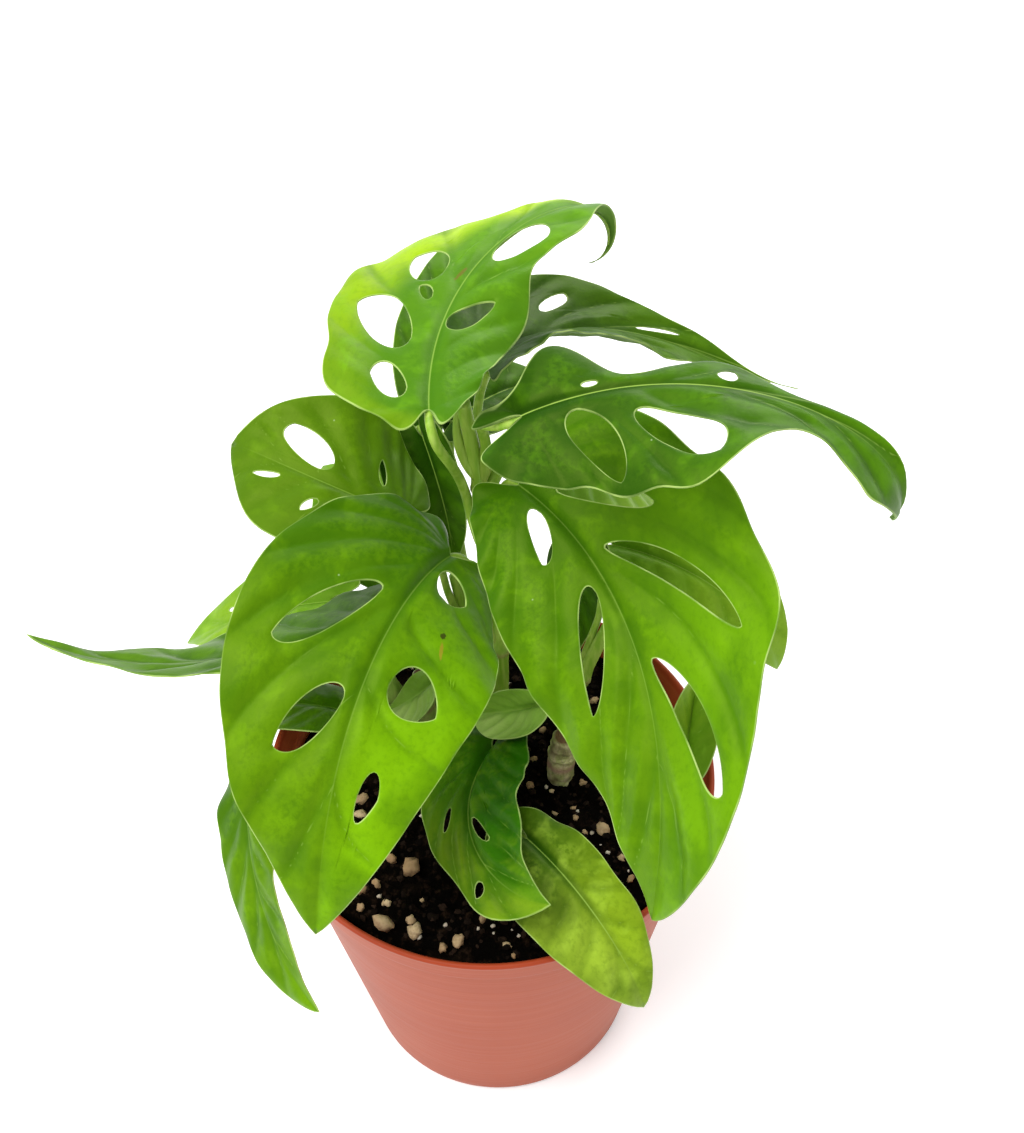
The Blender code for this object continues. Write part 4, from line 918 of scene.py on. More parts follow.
LEAVES = (
    Leaf(
        "leaf_top_left", (-10.3, 12.4, 227.3),
        heading=91, rise=9, bank=-4.5, turn=-74, arch=-17, twist=26, snap=-181,
        length=118, left=30.5, right=17, lobe=7, fold=1, curl=13, peak=1.4, taper=0.82,
        left_edge=(4.8, 0, 1, 0, -6.6, -2.9), right_edge=(1, 0, 1, -2.7, 3.9, -1.7),
        holes=(
            (-1, 0.68, 0.24, 0.675, 0.68, 0.03, 0.03), (-1, 0.54, 0.2, 0.545, 0.74, 0.05, 0.055),
            (-1, 0.39, 0.2, 0.39, 0.54, 0.06, 0.06), (-1, 0.635, 0.18, 0.64, 0.33, 0.012, 0.012),
            (1, 0.6, 0.05, 0.605, 0.62, 0.04, 0.015), (1, 0.775, 0.06, 0.76, 0.66, 0.05, 0.045),
        ),
        waves=(4.0, 1.5, 5.2),
        stalk=("stem_main", 181, 165, 0.3), tone="lit",
        spots=((44.0, -1.8, 2.8, 0.6, 12, (0.12, 0.10, 0.015)),),
    ),
    Leaf(
        "leaf_right_long", (9.3, 2.6, 232.9),
        heading=10.5, rise=19, bank=-16.5, turn=-49.5, arch=-50, twist=26, snap=-94,
        length=98, left=8, right=27, lobe=13.5, fold=8, curl=10, peak=1.22, taper=0.66,
        left_edge=(-3, 7.4, -4.6, 2.4, -2.5, 1.9), right_edge=(-0.8, -2.1, 1.2, 3.6, -8.6, 6.1),
        holes=(
            (1, 0.49, 0.14, 0.505, 0.87, 0.055, 0.05), (1, 0.615, 0.24, 0.69, 0.84, 0.045, 0.05),
            (-1, 0.73, 0.3, 0.71, 0.7, 0.015, 0.01), (-1, 0.51, 0.3, 0.515, 0.55, 0.012, 0.012),
        ),
        waves=(3.5, 1.5, 5.8),
        stalk=("stem_main", 206, -20, 0.35), tone="deep",
    ),
    Leaf(
        "leaf_front_right", (9, 18.5, 198),
        heading=-47, rise=-2, bank=-31, turn=-60, arch=-52, twist=-20, snap=-18,
        length=113, left=36.5, right=27.5, lobe=11, fold=12, curl=10, peak=1.32, taper=0,
        left_edge=(0, 0, 0, 1, -1, 1),
        holes=(
            (1, 0.46, 0.08, 0.53, 0.36, 0.06, 0.04), (1, 0.65, 0.11, 0.77, 0.62, 0.05, 0.03),
            (-1, 0.6, 0.12, 0.71, 0.81, 0.02, 0.03), (-1, 0.76, 0.11, 0.85, 0.83, 0.02, 0.04),
            (-1, 0.45, 0.14, 0.56, 0.55, 0.04, 0.04),
        ),
        stalk=("stem_main", 174, -10, 0.3), tone="front",
    ),
    Leaf(
        "leaf_front_left", (-7.5, 15, 178.5),
        heading=-119, rise=28, bank=33, turn=14, arch=-108, twist=-29, snap=22,
        length=107, left=28, right=34, lobe=9.5, fold=0, curl=15, peak=1.28, taper=0.1,
        left_edge=(0, 0, 0, 0, 0, 1), right_edge=(0, 0, 0, 0, 0, -1),
        holes=(
            (1, 0.59, 0.18, 0.67, 0.72, 0.03, 0.05), (1, 0.76, 0.11, 0.8, 0.62, 0.03, 0.03),
            (-1, 0.72, 0.22, 0.7, 0.7, 0.05, 0.03), (-1, 0.85, 0.33, 0.84, 0.57, 0.03, 0.03),
            (-1, 0.46, 0.08, 0.44, 0.46, 0.06, 0.06),
        ),
        stalk=("stem_main", 152, 200, 0.3), tone="sunny",
        spots=(
            (27.0, -11.5, 1.1, 0.8, 0, (0.02, 0.008, 0.004)), (30.8, -12.8, 2.8, 0.5, -20, (0.24, 0.19, 0.015)),
        ),
    ),
    Leaf(
        "leaf_young_curled", (14.5, 1, 136.5),
        heading=170, rise=-32, bank=36, turn=-23, arch=1, twist=4,
        length=24, left=12, right=7, lobe=2, fold=44, curl=20, peak=1.28, taper=0.2,
        stalk=("soil", (25, 10), 0.4, 4), stalk_radius=1.0, tone="young", furl=12, crumple=3.6,
    ),
    Leaf(
        "leaf_front_curled", (0.5, -2, 122.5),
        heading=-125, rise=3, bank=-26, turn=96, arch=13, twist=5, snap=18,
        length=65, left=17, right=14, lobe=11, fold=16, curl=18, peak=1.24, taper=0.2,
        left_edge=(0, 0, 0, -1, 1, 0), right_edge=(0, 0, 0, -2, -2, 3),
        holes=(
            (1, 0.66, 0.36, 0.7, 0.61, 0.02, 0.02), (-1, 0.73, 0.12, 0.79, 0.38, 0.03, 0.03),
            (1, 0.86, 0.35, 0.86, 0.75, 0.012, 0.012),
        ),
        stalk=("soil", (8, 8), 0.3, 0), stalk_radius=1.2, tone="creased", crumple=1.8,
    ),
    Leaf(
        "leaf_over_rim", (8, -32, 125),
        heading=-50, rise=2, bank=-7, turn=-5, arch=-57, twist=-5, snap=-22,
        length=53, left=11.5, right=16.5, lobe=10.5, fold=7, curl=14, peak=1.31, taper=0.06,
        left_edge=(0, -1, -1, -1, 1, 1), right_edge=(0, 0, 0, 0, 0, 1),
        stalk=("soil", (10, -17), 0.3, 0), stalk_radius=1.1, tone="yellowing", crumple=1.3,
    ),
    Leaf(
        "leaf_young_small", (-14, 13, 133),
        heading=173, rise=-56, bank=24, turn=-11, arch=14, twist=1, snap=10,
        length=23, left=10, right=5, lobe=3, fold=21, curl=19, peak=1.22, taper=0.33,
        stalk=("soil", (-8, 12), 0.4, 2), stalk_radius=0.9, tone="young", furl=12, crumple=3.2,
    ),
    Leaf(
        "leaf_left_middle", (-19, 29.5, 178),
        heading=172, rise=28, bank=-4, turn=-34, arch=-34, twist=34, snap=-15,
        length=51, left=21, right=26, lobe=7.5, fold=9, curl=15, peak=1.28, taper=-0.3,
        left_edge=(0, 0, 0, 0, 0, -1), right_edge=(0, 0, 0, 0, 0, 1),
        holes=(
            (1, 0.76, 0.12, 0.86, 0.62, 0.07, 0.06), (-1, 0.84, 0.2, 0.89, 0.5, 0.015, 0.015),
            (1, 0.52, 0.23, 0.55, 0.5, 0.02, 0.02), (-1, 0.71, 0.29, 0.72, 0.53, 0.015, 0.015),
        ),
        stalk=("stem_left", 142, 60, 0.35), tone="bright",
    ),
    Leaf(
        "leaf_under_left", (-14.5, 59, 178.5),
        heading=-66, rise=-43, bank=-32, turn=10, arch=-54, twist=2, snap=-8,
        length=42, left=7.5, right=14, lobe=11, fold=25, curl=12, peak=1.3, taper=0.26,
        stalk=("stem_back", 134, 215, 0.3), stalk_radius=1.1, tone="deep",
    ),
    Leaf(
        "leaf_far_left", (-22.5, 18.5, 159.5),
        heading=-156, rise=-14, bank=-28, turn=-49, arch=13, twist=-11, snap=24,
        length=100, left=17, right=20, lobe=10, fold=6, curl=7, peak=1.23, taper=0.42,
        left_edge=(0, 0, 0, 0, 0, -1), right_edge=(0, 0, 0, 0, 0, -1),
        stalk=("stem_left", 132, -60, 0.35), stalk_radius=1.2, tone="cool",
    ),
    Leaf(
        "leaf_left_rim", (-34.5, 9.5, 123.5),
        heading=159, rise=9, bank=-13, turn=11, arch=-60, twist=9, snap=-20,
        length=44, left=12, right=10, lobe=5.5, fold=10, curl=14, peak=1.28, taper=0.28,
        stalk=("soil", (-26, 4), 0.3, 0), stalk_radius=1.0, tone="fresh",
    ),
    Leaf(
        "leaf_left_behind", (-42, 35.5, 141),
        heading=169, rise=-15, bank=0, turn=1, arch=-27, twist=0, snap=-1,
        length=51, left=16, right=18, lobe=10, fold=11, curl=11, peak=1.31, taper=0.23,
        holes=((1, 0.82, 0.3, 0.84, 0.5, 0.015, 0.015),),
        stalk=("stem_left", 118, 180, 0.35), stalk_radius=1.1, tone="pale",
    ),
    Leaf(
        "leaf_left_hanging", (-68, 13.5, 99.5),
        heading=-95, rise=-18, bank=-54, turn=44, arch=3, twist=2, snap=24,
        length=75, left=10, right=13, lobe=9.5, fold=10, curl=14, peak=1.3, taper=0.06,
        left_edge=(0, 0, 0, -1, 1, 0), right_edge=(0, 0, -1, 0, 0, 1),
        stalk=("soil", (-34, 38), 0.7, 30), stalk_radius=1.1, tone="fresh",
    ),
    Leaf(
        "leaf_under_right", (17.5, 37.5, 191.5),
        heading=10, rise=-30, bank=-12, turn=3, arch=-30, twist=0, snap=-1,
        length=48, left=17, right=18, lobe=10, fold=8, curl=13, peak=1.24, taper=0.3,
        stalk=("stem_main", 162, 30, 0.35), stalk_radius=1.1, tone="pale",
    ),
    Leaf(
        "leaf_right_far", (2.5, 43, 213),
        heading=73, rise=-15, bank=18, turn=-102, arch=-20, twist=-45, snap=43,
        length=116, left=19.5, right=15.5, lobe=12.5, fold=15, curl=-9, peak=1.1, taper=0.85,
        left_edge=(0, 0, 1, 1, -4, -2), right_edge=(0, 0, 0, 0, 1, -1),
        holes=((-1, 0.65, 0.38, 0.67, 0.7, 0.02, 0.02), (-1, 0.8, 0.25, 0.84, 0.58, 0.015, 0.015)),
        stalk=("stem_main", 184, 100, 0.35), tone="cool",
    ),
    Leaf(
        "leaf_back_centre", (-6.5, 67.5, 176),
        heading=41, rise=8, bank=-12, turn=2, arch=-45, twist=0, snap=-2,
        length=41, left=13, right=14, lobe=8.5, fold=19, curl=12, peak=1.28, taper=0.3,
        stalk=("stem_back", 132, -10, 0.05), stalk_radius=1.1, tone="deep",
    ),
    Leaf(
        "leaf_back_standing", (-10, 71, 172),
        heading=85, rise=18, bank=-17, turn=-4, arch=-17, twist=-6, snap=2,
        length=78, left=15, right=16, lobe=8, fold=5, curl=15, peak=1.29, taper=0.27,
        holes=((-1, 0.6, 0.2, 0.64, 0.6, 0.03, 0.03), (1, 0.7, 0.2, 0.74, 0.6, 0.03, 0.03)),
        stalk=("stem_back", 130, 100, 0.2), stalk_radius=1.2, tone="deep",
    ),
    Leaf(
        "leaf_right_folded", (50, -12, 117.5),
        heading=79, rise=28, bank=-15, turn=-6, arch=-30, twist=3,
        length=32, left=9, right=9, lobe=2, fold=45, curl=9, peak=1.25, taper=0.3,
        stalk=("soil", (46, -18), 0.3, 0), stalk_radius=1.0, tone="pale",
    ),
    Leaf(
        "leaf_inner_right", (28.5, 37, 154.5),
        heading=-140, rise=-70, bank=1, turn=2, arch=-30, twist=1,
        length=40, left=10, right=12, lobe=10, fold=15, curl=12, peak=1.26, taper=0.3,
        stalk=("stem_right", 139, 140, 0.35), stalk_radius=1.0, tone="deep",
    ),
    Leaf(
        "leaf_right_behind", (36, 48.5, 145),
        heading=-21, rise=3, bank=-16, turn=-4, arch=-70, twist=-7, snap=-19,
        length=66, left=20.5, right=18, lobe=10, fold=10, curl=12, peak=1.27, taper=0.2,
        holes=((-1, 0.6, 0.2, 0.66, 0.6, 0.03, 0.03),),
        stalk=("soil", (38, 31), 0.2, 0), stalk_radius=1.2, tone="pale",
    ),
    Leaf(
        "leaf_back_low", (-21.5, 53.5, 136),
        heading=116, rise=6, bank=7, turn=2, arch=-31, twist=2, snap=-1,
        length=61, left=20, right=20, lobe=9.5, fold=8, curl=14, peak=1.25, taper=0.3,
        holes=((1, 0.58, 0.2, 0.64, 0.65, 0.03, 0.03), (-1, 0.7, 0.2, 0.74, 0.62, 0.03, 0.03)),
        stalk=("stem_back", 119, 170, 0.35), stalk_radius=1.2, tone="fresh",
    ),
)
UPPER = ("leaf_top_left", "leaf_right_long", "leaf_right_far", "leaf_left_middle", "leaf_under_right")
FRONT = ("leaf_front_right", "leaf_front_left", "leaf_front_curled", "leaf_over_rim", "leaf_left_hanging")
YOUNG = ("leaf_young_curled", "leaf_young_small", "leaf_right_folded", "leaf_left_rim")
INNER = tuple(leaf.name for leaf in LEAVES if leaf.name not in UPPER + FRONT + YOUNG)

# Where a tone's two halves differ, the lighter one is painted light; the joint colour is painted shade, and tip is
# painted light towards the tip.
TONES = {
    "lit": Tone(
        (0.35, 0.54, 0.002), (0.080, 0.215, 0.004), (0.042, 0.145, 0.003), 0.8, 0.45, (-0.8, -0.35), tip=0.1,
    ),
    "fresh": Tone((0.088, 0.205, 0.001), (0.092, 0.212, 0.001), (0.03, 0.11, 0.001)),
    "front": Tone((0.108, 0.262, 0.001), (0.082, 0.195, 0.001), (0.03, 0.11, 0.001), turn=(-0.6, 0.1), tip=0.05),
    "sunny": Tone((0.148, 0.340, 0.001), (0.083, 0.192, 0.001), (0.03, 0.11, 0.001), turn=(-0.45, 0.2), tip=0.25),
    "bright": Tone((0.066, 0.150, 0.002), (0.070, 0.158, 0.002), (0.05, 0.125, 0.001), ridge=0.3, tip=0.0),
    "deep": Tone((0.045, 0.14, 0.001), (0.045, 0.14, 0.001), (0.009, 0.047, 0.001), 0.8, 0.75, tip=1.0),
    "cool": Tone((0.058, 0.15, 0.004), (0.062, 0.155, 0.004), (0.018, 0.07, 0.002), 0.9, 0.5),
    "pale": Tone((0.17, 0.31, 0.012), (0.16, 0.30, 0.012), (0.08, 0.21, 0.005), 0.7, 0.4),
    "young": Tone((0.44, 0.60, 0.16), (0.20, 0.36, 0.04), (0.16, 0.32, 0.03), 0.8, 0.4, (-0.15, 0.15)),
    "creased": Tone(
        (0.024, 0.13, 0.001), (0.11, 0.20, 0.006), (0.016, 0.10, 0.001), 0.7, 0.5, (-0.4, 0.5), tip=0.5,
    ),
    "yellowing": Tone(
        (0.20, 0.32, 0.010), (0.23, 0.35, 0.022), (0.006, 0.05, 0.001), 0.5, 0.6, joint_reach=0.65,
    ),
}


def build_leaf(leaf, settings):
    """Blade and stalk of one leaf as one piece: the blade has the leaf skin, the stalk the stem skin."""
    stems = {row[0]: Stem(*row, settings.pot) for row in STEMS}
    *blade, flat = leaf.blade(settings.leaf)
    stalk = leaf.stalk_shell(stems, settings.pot)
    flat = np.concatenate([flat, np.zeros((len(stalk[0]), 2))])
    mesh = mesh_from(leaf.name, *merged([blade, stalk]), flat)
    skin = leaf_finish(leaf.name + " skin", settings.leaf, TONES[leaf.tone], leaf.spots)
    add_piece(leaf.name + "_piece", mesh, skin, [leaf.name], SOFT_ANGLE)
    mesh.materials.append(stem_material(settings))
    on_stalk = np.arange(len(mesh.polygons)) >= len(blade[1])
    mesh.polygons.foreach_set("material_index", on_stalk.astype(np.int32))


def stem_material(settings):
    """The stalks' and stems' shared skin, made once."""
    name = "stem skin"
    if name in bpy.data.materials:
        return bpy.data.materials[name]
    look = settings.stem
    return stem_finish(name, tuple(look.green), tuple(look.pale), tuple(look.scar))


# Pot, potting mix and loose bits


HEEL_RADIUS, BEAD_RADIUS = 1.2, 0.75
DRAIN_RADIUS = 3.0
CALM_RADIUS = 56.0  # from here out to the wall, the mix has no lumps


def pot_profile(sizes):
    """Section from the underside's centre, up the outer wall, over the lip and down the inside to the floor."""
    height, lip = POT_TOP.z / MM, POT_TOP.x / MM
    step = height - sizes.collar_height / MM
    foot, body, base = sizes.collar_radius / MM, sizes.body_radius / MM, sizes.base_radius / MM
    wall, floor = sizes.wall / MM, sizes.floor / MM
    level = [(r, 0.0) for r in np.linspace(0.0, base - 1.6, 16)]
    angles = np.linspace(0.0, 1.5, 6)
    heel = [(base - HEEL_RADIUS * (1 - math.sin(a)), HEEL_RADIUS * (1 - math.cos(a))) for a in angles]
    rise = np.linspace(1.6, step - 0.8, 40)
    outer = [(base + (body - base) * z / (step - 0.6), z) for z in rise]
    ledge = [
        (body + 0.05, step - 0.5), (body + 0.5, step - 0.15), (foot - 0.6, step + 0.15), (foot - 0.1, step + 0.45),
    ]
    low, high = step + 0.6, height - 1.8
    collar = [(foot + (lip - 0.5 - foot) * f, low + (high - low) * f) for f in np.linspace(0, 1, 10)]
    angles = np.linspace(-0.6, 2.4, 14)
    bead = [(lip - BEAD_RADIUS * (1 - math.cos(a)), height - BEAD_RADIUS * (1 - math.sin(a))) for a in angles]
    inside = [(lip - 1.7, height - 0.7), (foot - wall + 0.2, step + 1.4), (foot - wall - 0.1, step + 0.9)]
    inside += [(body - wall + 0.2, step - 1.0), (body - wall, step - 1.8)]
    shares = np.linspace(0.05, 1.0, 24)
    inside += [(body - wall + (base - body + 0.4) * f, (step - 1.8) * (1 - f) + floor * f) for f in shares]
    return level + heel + outer + ledge + collar + bead + inside + [(20.0, floor), (0.0, floor)]


def build_pot(settings):
    """Turned shell; its foot is lifted in a smooth-sided window at each notch, and drain holes are cut through."""
    sizes, look = settings.pot, settings.pot_look
    points, triangles = turned(pot_profile(sizes), sizes.sides)
    radius, angle = np.hypot(points[:, 0], points[:, 1]), np.arctan2(points[:, 1], points[:, 0])
    apart = 2 * math.pi / sizes.notches
    off = (angle - sizes.notch_turn + apart / 2) % apart - apart / 2
    across = np.abs(radius * np.sin(off)) / (sizes.notch_width / MM / 2)
    window = held((1.04 - across) / 0.08)
    beyond = held((radius - sizes.notch_inner / MM) / 0.8)
    lift = sizes.notch_height / MM * window * beyond
    low = points[:, 2] < sizes.notch_height / MM
    points[:, 2] = np.where(low, np.maximum(points[:, 2], lift), points[:, 2])
    mesh = mesh_from("pot", points, triangles)
    pot = add_piece("pot_piece", mesh, pot_finish(look), ["pot"])
    cut_drain_holes(pot, sizes)
    pot.data.set_sharp_from_angle(angle=math.radians(40))


def cut_drain_holes(pot, sizes):
    """One Boolean with a short round bar at each notch, applied; the bars are then removed."""
    group = bpy.data.collections.new("drain_bars")
    bpy.context.scene.collection.children.link(group)
    where, top = sizes.notch_inner / MM + 1.0, sizes.floor / MM + 2
    shape, triangles = turned([(0, -2), (DRAIN_RADIUS, -2), (DRAIN_RADIUS, top), (0, top)], 24)
    for n in range(sizes.notches):
        angle = sizes.notch_turn + 2 * math.pi * n / sizes.notches
        points = shape + np.array([where * math.cos(angle), where * math.sin(angle), 0.0])
        group.objects.link(bpy.data.objects.new("drain_bar", mesh_from("drain_bar", points, triangles)))
    cut = pot.modifiers.new("drains", "BOOLEAN")
    cut.operand_type = "COLLECTION"
    cut.collection = group
    cut.operation = "DIFFERENCE"
    cut.solver = "EXACT"
    bpy.context.view_layer.update()
    graph = bpy.context.evaluated_depsgraph_get()
    mesh = bpy.data.meshes.new_from_object(pot.evaluated_get(graph))
    pot.modifiers.clear()
    pot.data = mesh
    for bar in list(group.objects):
        bpy.data.objects.remove(bar, do_unlink=True)
    bpy.data.collections.remove(group)


def mix_height(x, y, sizes):
    """Top of the potting mix: the part's slow swells, and crumbs of three sizes, calm at the wall."""
    r = np.hypot(x, y)
    calm = held(1.0 - (r / CALM_RADIUS) ** 6)
    swell = np.sin(0.11 * x + 1.3) * np.cos(0.13 * y - 0.4) + 0.7 * np.sin(0.23 * x - 0.19 * y)
    lumps = 0.6 * np.sin(0.61 * x + 0.9) * np.sin(0.57 * y + 0.3)
    crumbs = 0.9 * value_noise(x, y, 4.5, 3) + 0.7 * value_noise(x, y, 2.1, 4) + 0.35 * value_noise(x, y, 0.9, 5)
    slow = sizes.soil_relief / MM * calm * (0.6 * swell + lumps)
    return sizes.soil_top / MM + slow + crumbs * (0.35 + 0.65 * calm)


def build_mix(settings):
    """Filled body of the potting mix: rings from the floor up the wall and in over the crumbly top."""
    sizes = settings.pot
    floor = sizes.floor / MM + 0.3
    base, body, wall = sizes.base_radius / MM, sizes.body_radius / MM, sizes.wall / MM
    step = POT_TOP.z / MM - sizes.collar_height / MM - 1.6
    low = base - wall - 0.3
    high = body - wall - 0.55
    profile = [(0.0, floor), (low, floor)]
    profile += [(low + (high - low) * f, floor + (step - 0.6 - floor) * f) for f in np.linspace(0.1, 1.0, 8)]
    profile += [(high + 0.15, sizes.soil_top / MM - 1.2)]
    profile += [(r, sizes.soil_top / MM) for r in np.linspace(high + 0.2, 0.0, 120)]
    points, triangles = turned(profile, 300)
    top = points[:, 2] >= sizes.soil_top / MM - 0.01
    points[top, 2] = mix_height(points[top, 0], points[top, 1], sizes)
    mesh = mesh_from("potting_mix", points, triangles)
    add_piece("potting_mix", mesh, mix_finish(settings.mix_look), ["soil"])


def stone_shape():
    """Twenty-sided ball split once: 42 points and 80 triangles on the unit sphere."""
    g = (1 + 5 ** 0.5) / 2
    base = np.array([
        (-1, g, 0), (1, g, 0), (-1, -g, 0), (1, -g, 0), (0, -1, g), (0, 1, g),
        (0, -1, -g), (0, 1, -g), (g, 0, -1), (g, 0, 1), (-g, 0, -1), (-g, 0, 1),
    ], float)
    faces = np.array([
        (0, 11, 5), (0, 5, 1), (0, 1, 7), (0, 7, 10), (0, 10, 11), (1, 5, 9), (5, 11, 4), (11, 10, 2),
        (10, 7, 6), (7, 1, 8), (3, 9, 4), (3, 4, 2), (3, 2, 6), (3, 6, 8), (3, 8, 9), (4, 9, 5),
        (2, 4, 11), (6, 2, 10), (8, 6, 7), (9, 8, 1),
    ])
    a, b, c = faces.T
    edges = np.concatenate([np.stack([a, b], 1), np.stack([b, c], 1), np.stack([c, a], 1)])
    key = np.sort(edges, axis=1)
    unique, back = np.unique(key, axis=0, return_inverse=True)
    back = back.reshape(-1)
    middle = (base[unique[:, 0]] + base[unique[:, 1]]) / 2
    points = np.concatenate([base, middle])
    n = len(faces)
    ab, bc, ca = (back[k * n:(k + 1) * n] + len(base) for k in range(3))
    parts = [(a, ab, ca), (ab, b, bc), (ca, bc, c), (ab, bc, ca)]
    triangles = np.concatenate([np.stack(p, 1) for p in parts])
    return points / np.linalg.norm(points, axis=1)[:, None], triangles


BITS = (
    # name, least and greatest size, flatness, how deep they lie, light and dark colour
    ("pumice_bits", 1.4, 3.4, (0.6, 0.9), 0.35, (0.62, 0.48, 0.28), (0.32, 0.19, 0.09)),
    ("perlite_bits", 0.6, 1.8, (0.6, 0.95), 0.4, (0.80, 0.74, 0.62), (0.50, 0.42, 0.32)),
    ("bark_crumbs", 0.8, 2.6, (0.35, 0.8), 0.2, (0.028, 0.016, 0.010), (0.002, 0.0015, 0.001)),
)
BITS_REACH, BITS_LIMIT = 53.0, 54.3  # how far out the middle and the outside of a bit may lie
LUMP_SHARE = 0.33  # a lump's radius, as a share of its size in LUMPS
CRUMB_ANGLE = 50
LUMPS = (
    (-36, -3, 5), (-36, -8, 6), (-27, -23, 5), (-22, -26, 7), (-31, -30, 4), (-35, -31, 5), (-29, -35, 3),
    (-22, -41, 4), (-29, -42, 8), (-21, -44, 7), (-10, -48, 6), (-14, -49, 4), (29, -17, 6), (24, -18, 3),
    (25, 0, 4), (22, 9, 5), (22, -13, 3), (33, -26, 4), (12, 7, 4),
)


def scatter(count, low, high, flatness, seed, sizes, sink, clear, placed):
    """Bits on the mix: stretched, dented and turned balls, those placed one by one (x, y, size) and then random
    ones.

    The random ones are kept off the places in clear.
    """
    rng = np.random.default_rng(seed)
    shape, faces = stone_shape()
    radius = (high + (low - high) * rng.random(count * 3) ** 0.6) / 2
    reach = BITS_REACH * np.sqrt(rng.random(count * 3))
    angle = rng.uniform(0, 2 * np.pi, count * 3)
    x, y = reach * np.cos(angle), reach * np.sin(angle)
    keep = np.min([np.hypot(x - a, y - b) - r for a, b, r in clear], axis=0) > radius
    keep &= np.hypot(x, y) + radius < BITS_LIMIT
    by_hand = np.array(placed, float).reshape(-1, 3)
    x = np.concatenate([by_hand[:, 0], x[keep][:count]])
    y = np.concatenate([by_hand[:, 1], y[keep][:count]])
    radius = np.concatenate([by_hand[:, 2] * LUMP_SHARE, radius[keep][:count]])
    n = len(x)
    stretch = np.stack([rng.uniform(0.75, 1.25, n), rng.uniform(0.65, 1.0, n), rng.uniform(*flatness, n)], 1)
    dent = 1 + 0.34 * rng.uniform(-1, 1, (n, len(shape)))
    local = shape[None] * dent[..., None] * stretch[:, None] * radius[:, None, None]
    yaw, tilt = rng.uniform(0, 2 * np.pi, n), rng.normal(0, 0.35, n)
    across, away, up = np.moveaxis(local, -1, 0)
    c, s = np.cos(tilt)[:, None], np.sin(tilt)[:, None]
    across, up = across * c + up * s, up * c - across * s
    c, s = np.cos(yaw)[:, None], np.sin(yaw)[:, None]
    spun = np.stack([across * c - away * s, across * s + away * c, up], -1)
    ground = mix_height(x, y, sizes) + radius * stretch[:, 2] * sink
    points = spun + np.stack([x, y, ground], 1)[:, None]
    triangles = faces[None] + (np.arange(n) * len(shape))[:, None, None]
    tone = np.repeat(rng.random(n), len(shape))
    return points.reshape(-1, 3), triangles.reshape(-1, 3), {"tone": tone}


def standing_places():
    """Places of every stem, stump and soil-rooted stalk: x, y and radius."""
    places = [(*row[1], row[3]) for row in STEMS] + [(*row[1], row[2]) for row in STUMPS]
    return places + [(*leaf.stalk[1], leaf.stalk_radius) for leaf in LEAVES if leaf.stalk[0] == "soil"]


# Settings


def size(name, default, description):
    """A length in metres for the panel."""
    return FloatProperty(
        name=name, default=default, description=description, min=0.0, unit="LENGTH", precision=5)


def colour(name, default, description):
    """A colour for the panel."""
    return FloatVectorProperty(
        name=name, default=default, description=description, size=3, min=0.0, max=1.0, subtype="COLOR")


class PotSizes(bpy.types.PropertyGroup):
    """Sizes of the pot and of the mix in it."""

    collar_height: size("Collar height", 0.0093, "Height of the stepped collar under the lip")
    collar_radius: size("Collar radius", 0.0584, "Outer radius at the collar's foot")
    body_radius: size("Body radius", 0.0564, "Outer radius of the body just below the collar")
    base_radius: size("Base radius", 0.041, "Outer radius at the foot")
    wall: size("Wall", 0.0014, "Thickness of the moulded wall")
    floor: size("Floor", 0.003, "Thickness of the pot's floor")
    notches: IntProperty(name="Notches", default=6, min=1, description="Openings round the foot")
    notch_width: size("Notch width", 0.022, "Width of each opening in the foot")
    notch_height: size("Notch height", 0.0015, "Height of each opening in the foot")
    notch_inner: size("Notch start", 0.034, "Radius at which each opening starts")
    notch_turn: FloatProperty(
        name="Notch turn", default=-1.501, subtype="ANGLE", description="Direction of the first opening")
    soil_top: size("Mix height", 0.103, "Mean height of the potting mix")
    soil_relief: size("Mix relief", 0.0013, "Height of the slow swells of the mix")
    hole_depth: size("Hole depth", 0.012, "How deep stems and stalks stand in the mix")
    sides: IntProperty(name="Sides", default=240, min=12, description="Steps round the pot")


class PotLook(bpy.types.PropertyGroup):
    """Colours of the pot's plastic, and the painted reflection of the dark mix on its lip."""

    pot_colour: colour("Body", (0.35, 0.060, 0.017), "Moulded terracotta colour")
    pot_bright: colour("Body, bright", (0.405, 0.084, 0.03), "Lighter clouds in the plastic")
    # The lip's deeper red is a painted reflection of the dark mix.
    lip_colour: colour("Lip", (0.34, 0.045, 0.014), "Deeper colour on the lip")


class MixLook(bpy.types.PropertyGroup):
    """Colours and loose bits of the potting mix."""

    mix_colour: colour("Mix", (0.0016, 0.0012, 0.0008), "Wet peat")
    crumb_colour: colour("Crumbs", (0.022, 0.012, 0.007), "Brown crumbs in the peat")
    pumice: IntProperty(name="Pumice bits", default=60, min=0, description="Beige stones on top")
    perlite: IntProperty(name="Perlite bits", default=60, min=0, description="Small white bits on top")
    crumbs: IntProperty(name="Crumbs", default=900, min=0, description="Dark crumbs of bark and peat on top")
    seed: IntProperty(name="Seed", default=7, min=0, description="Seed of the scattered bits")


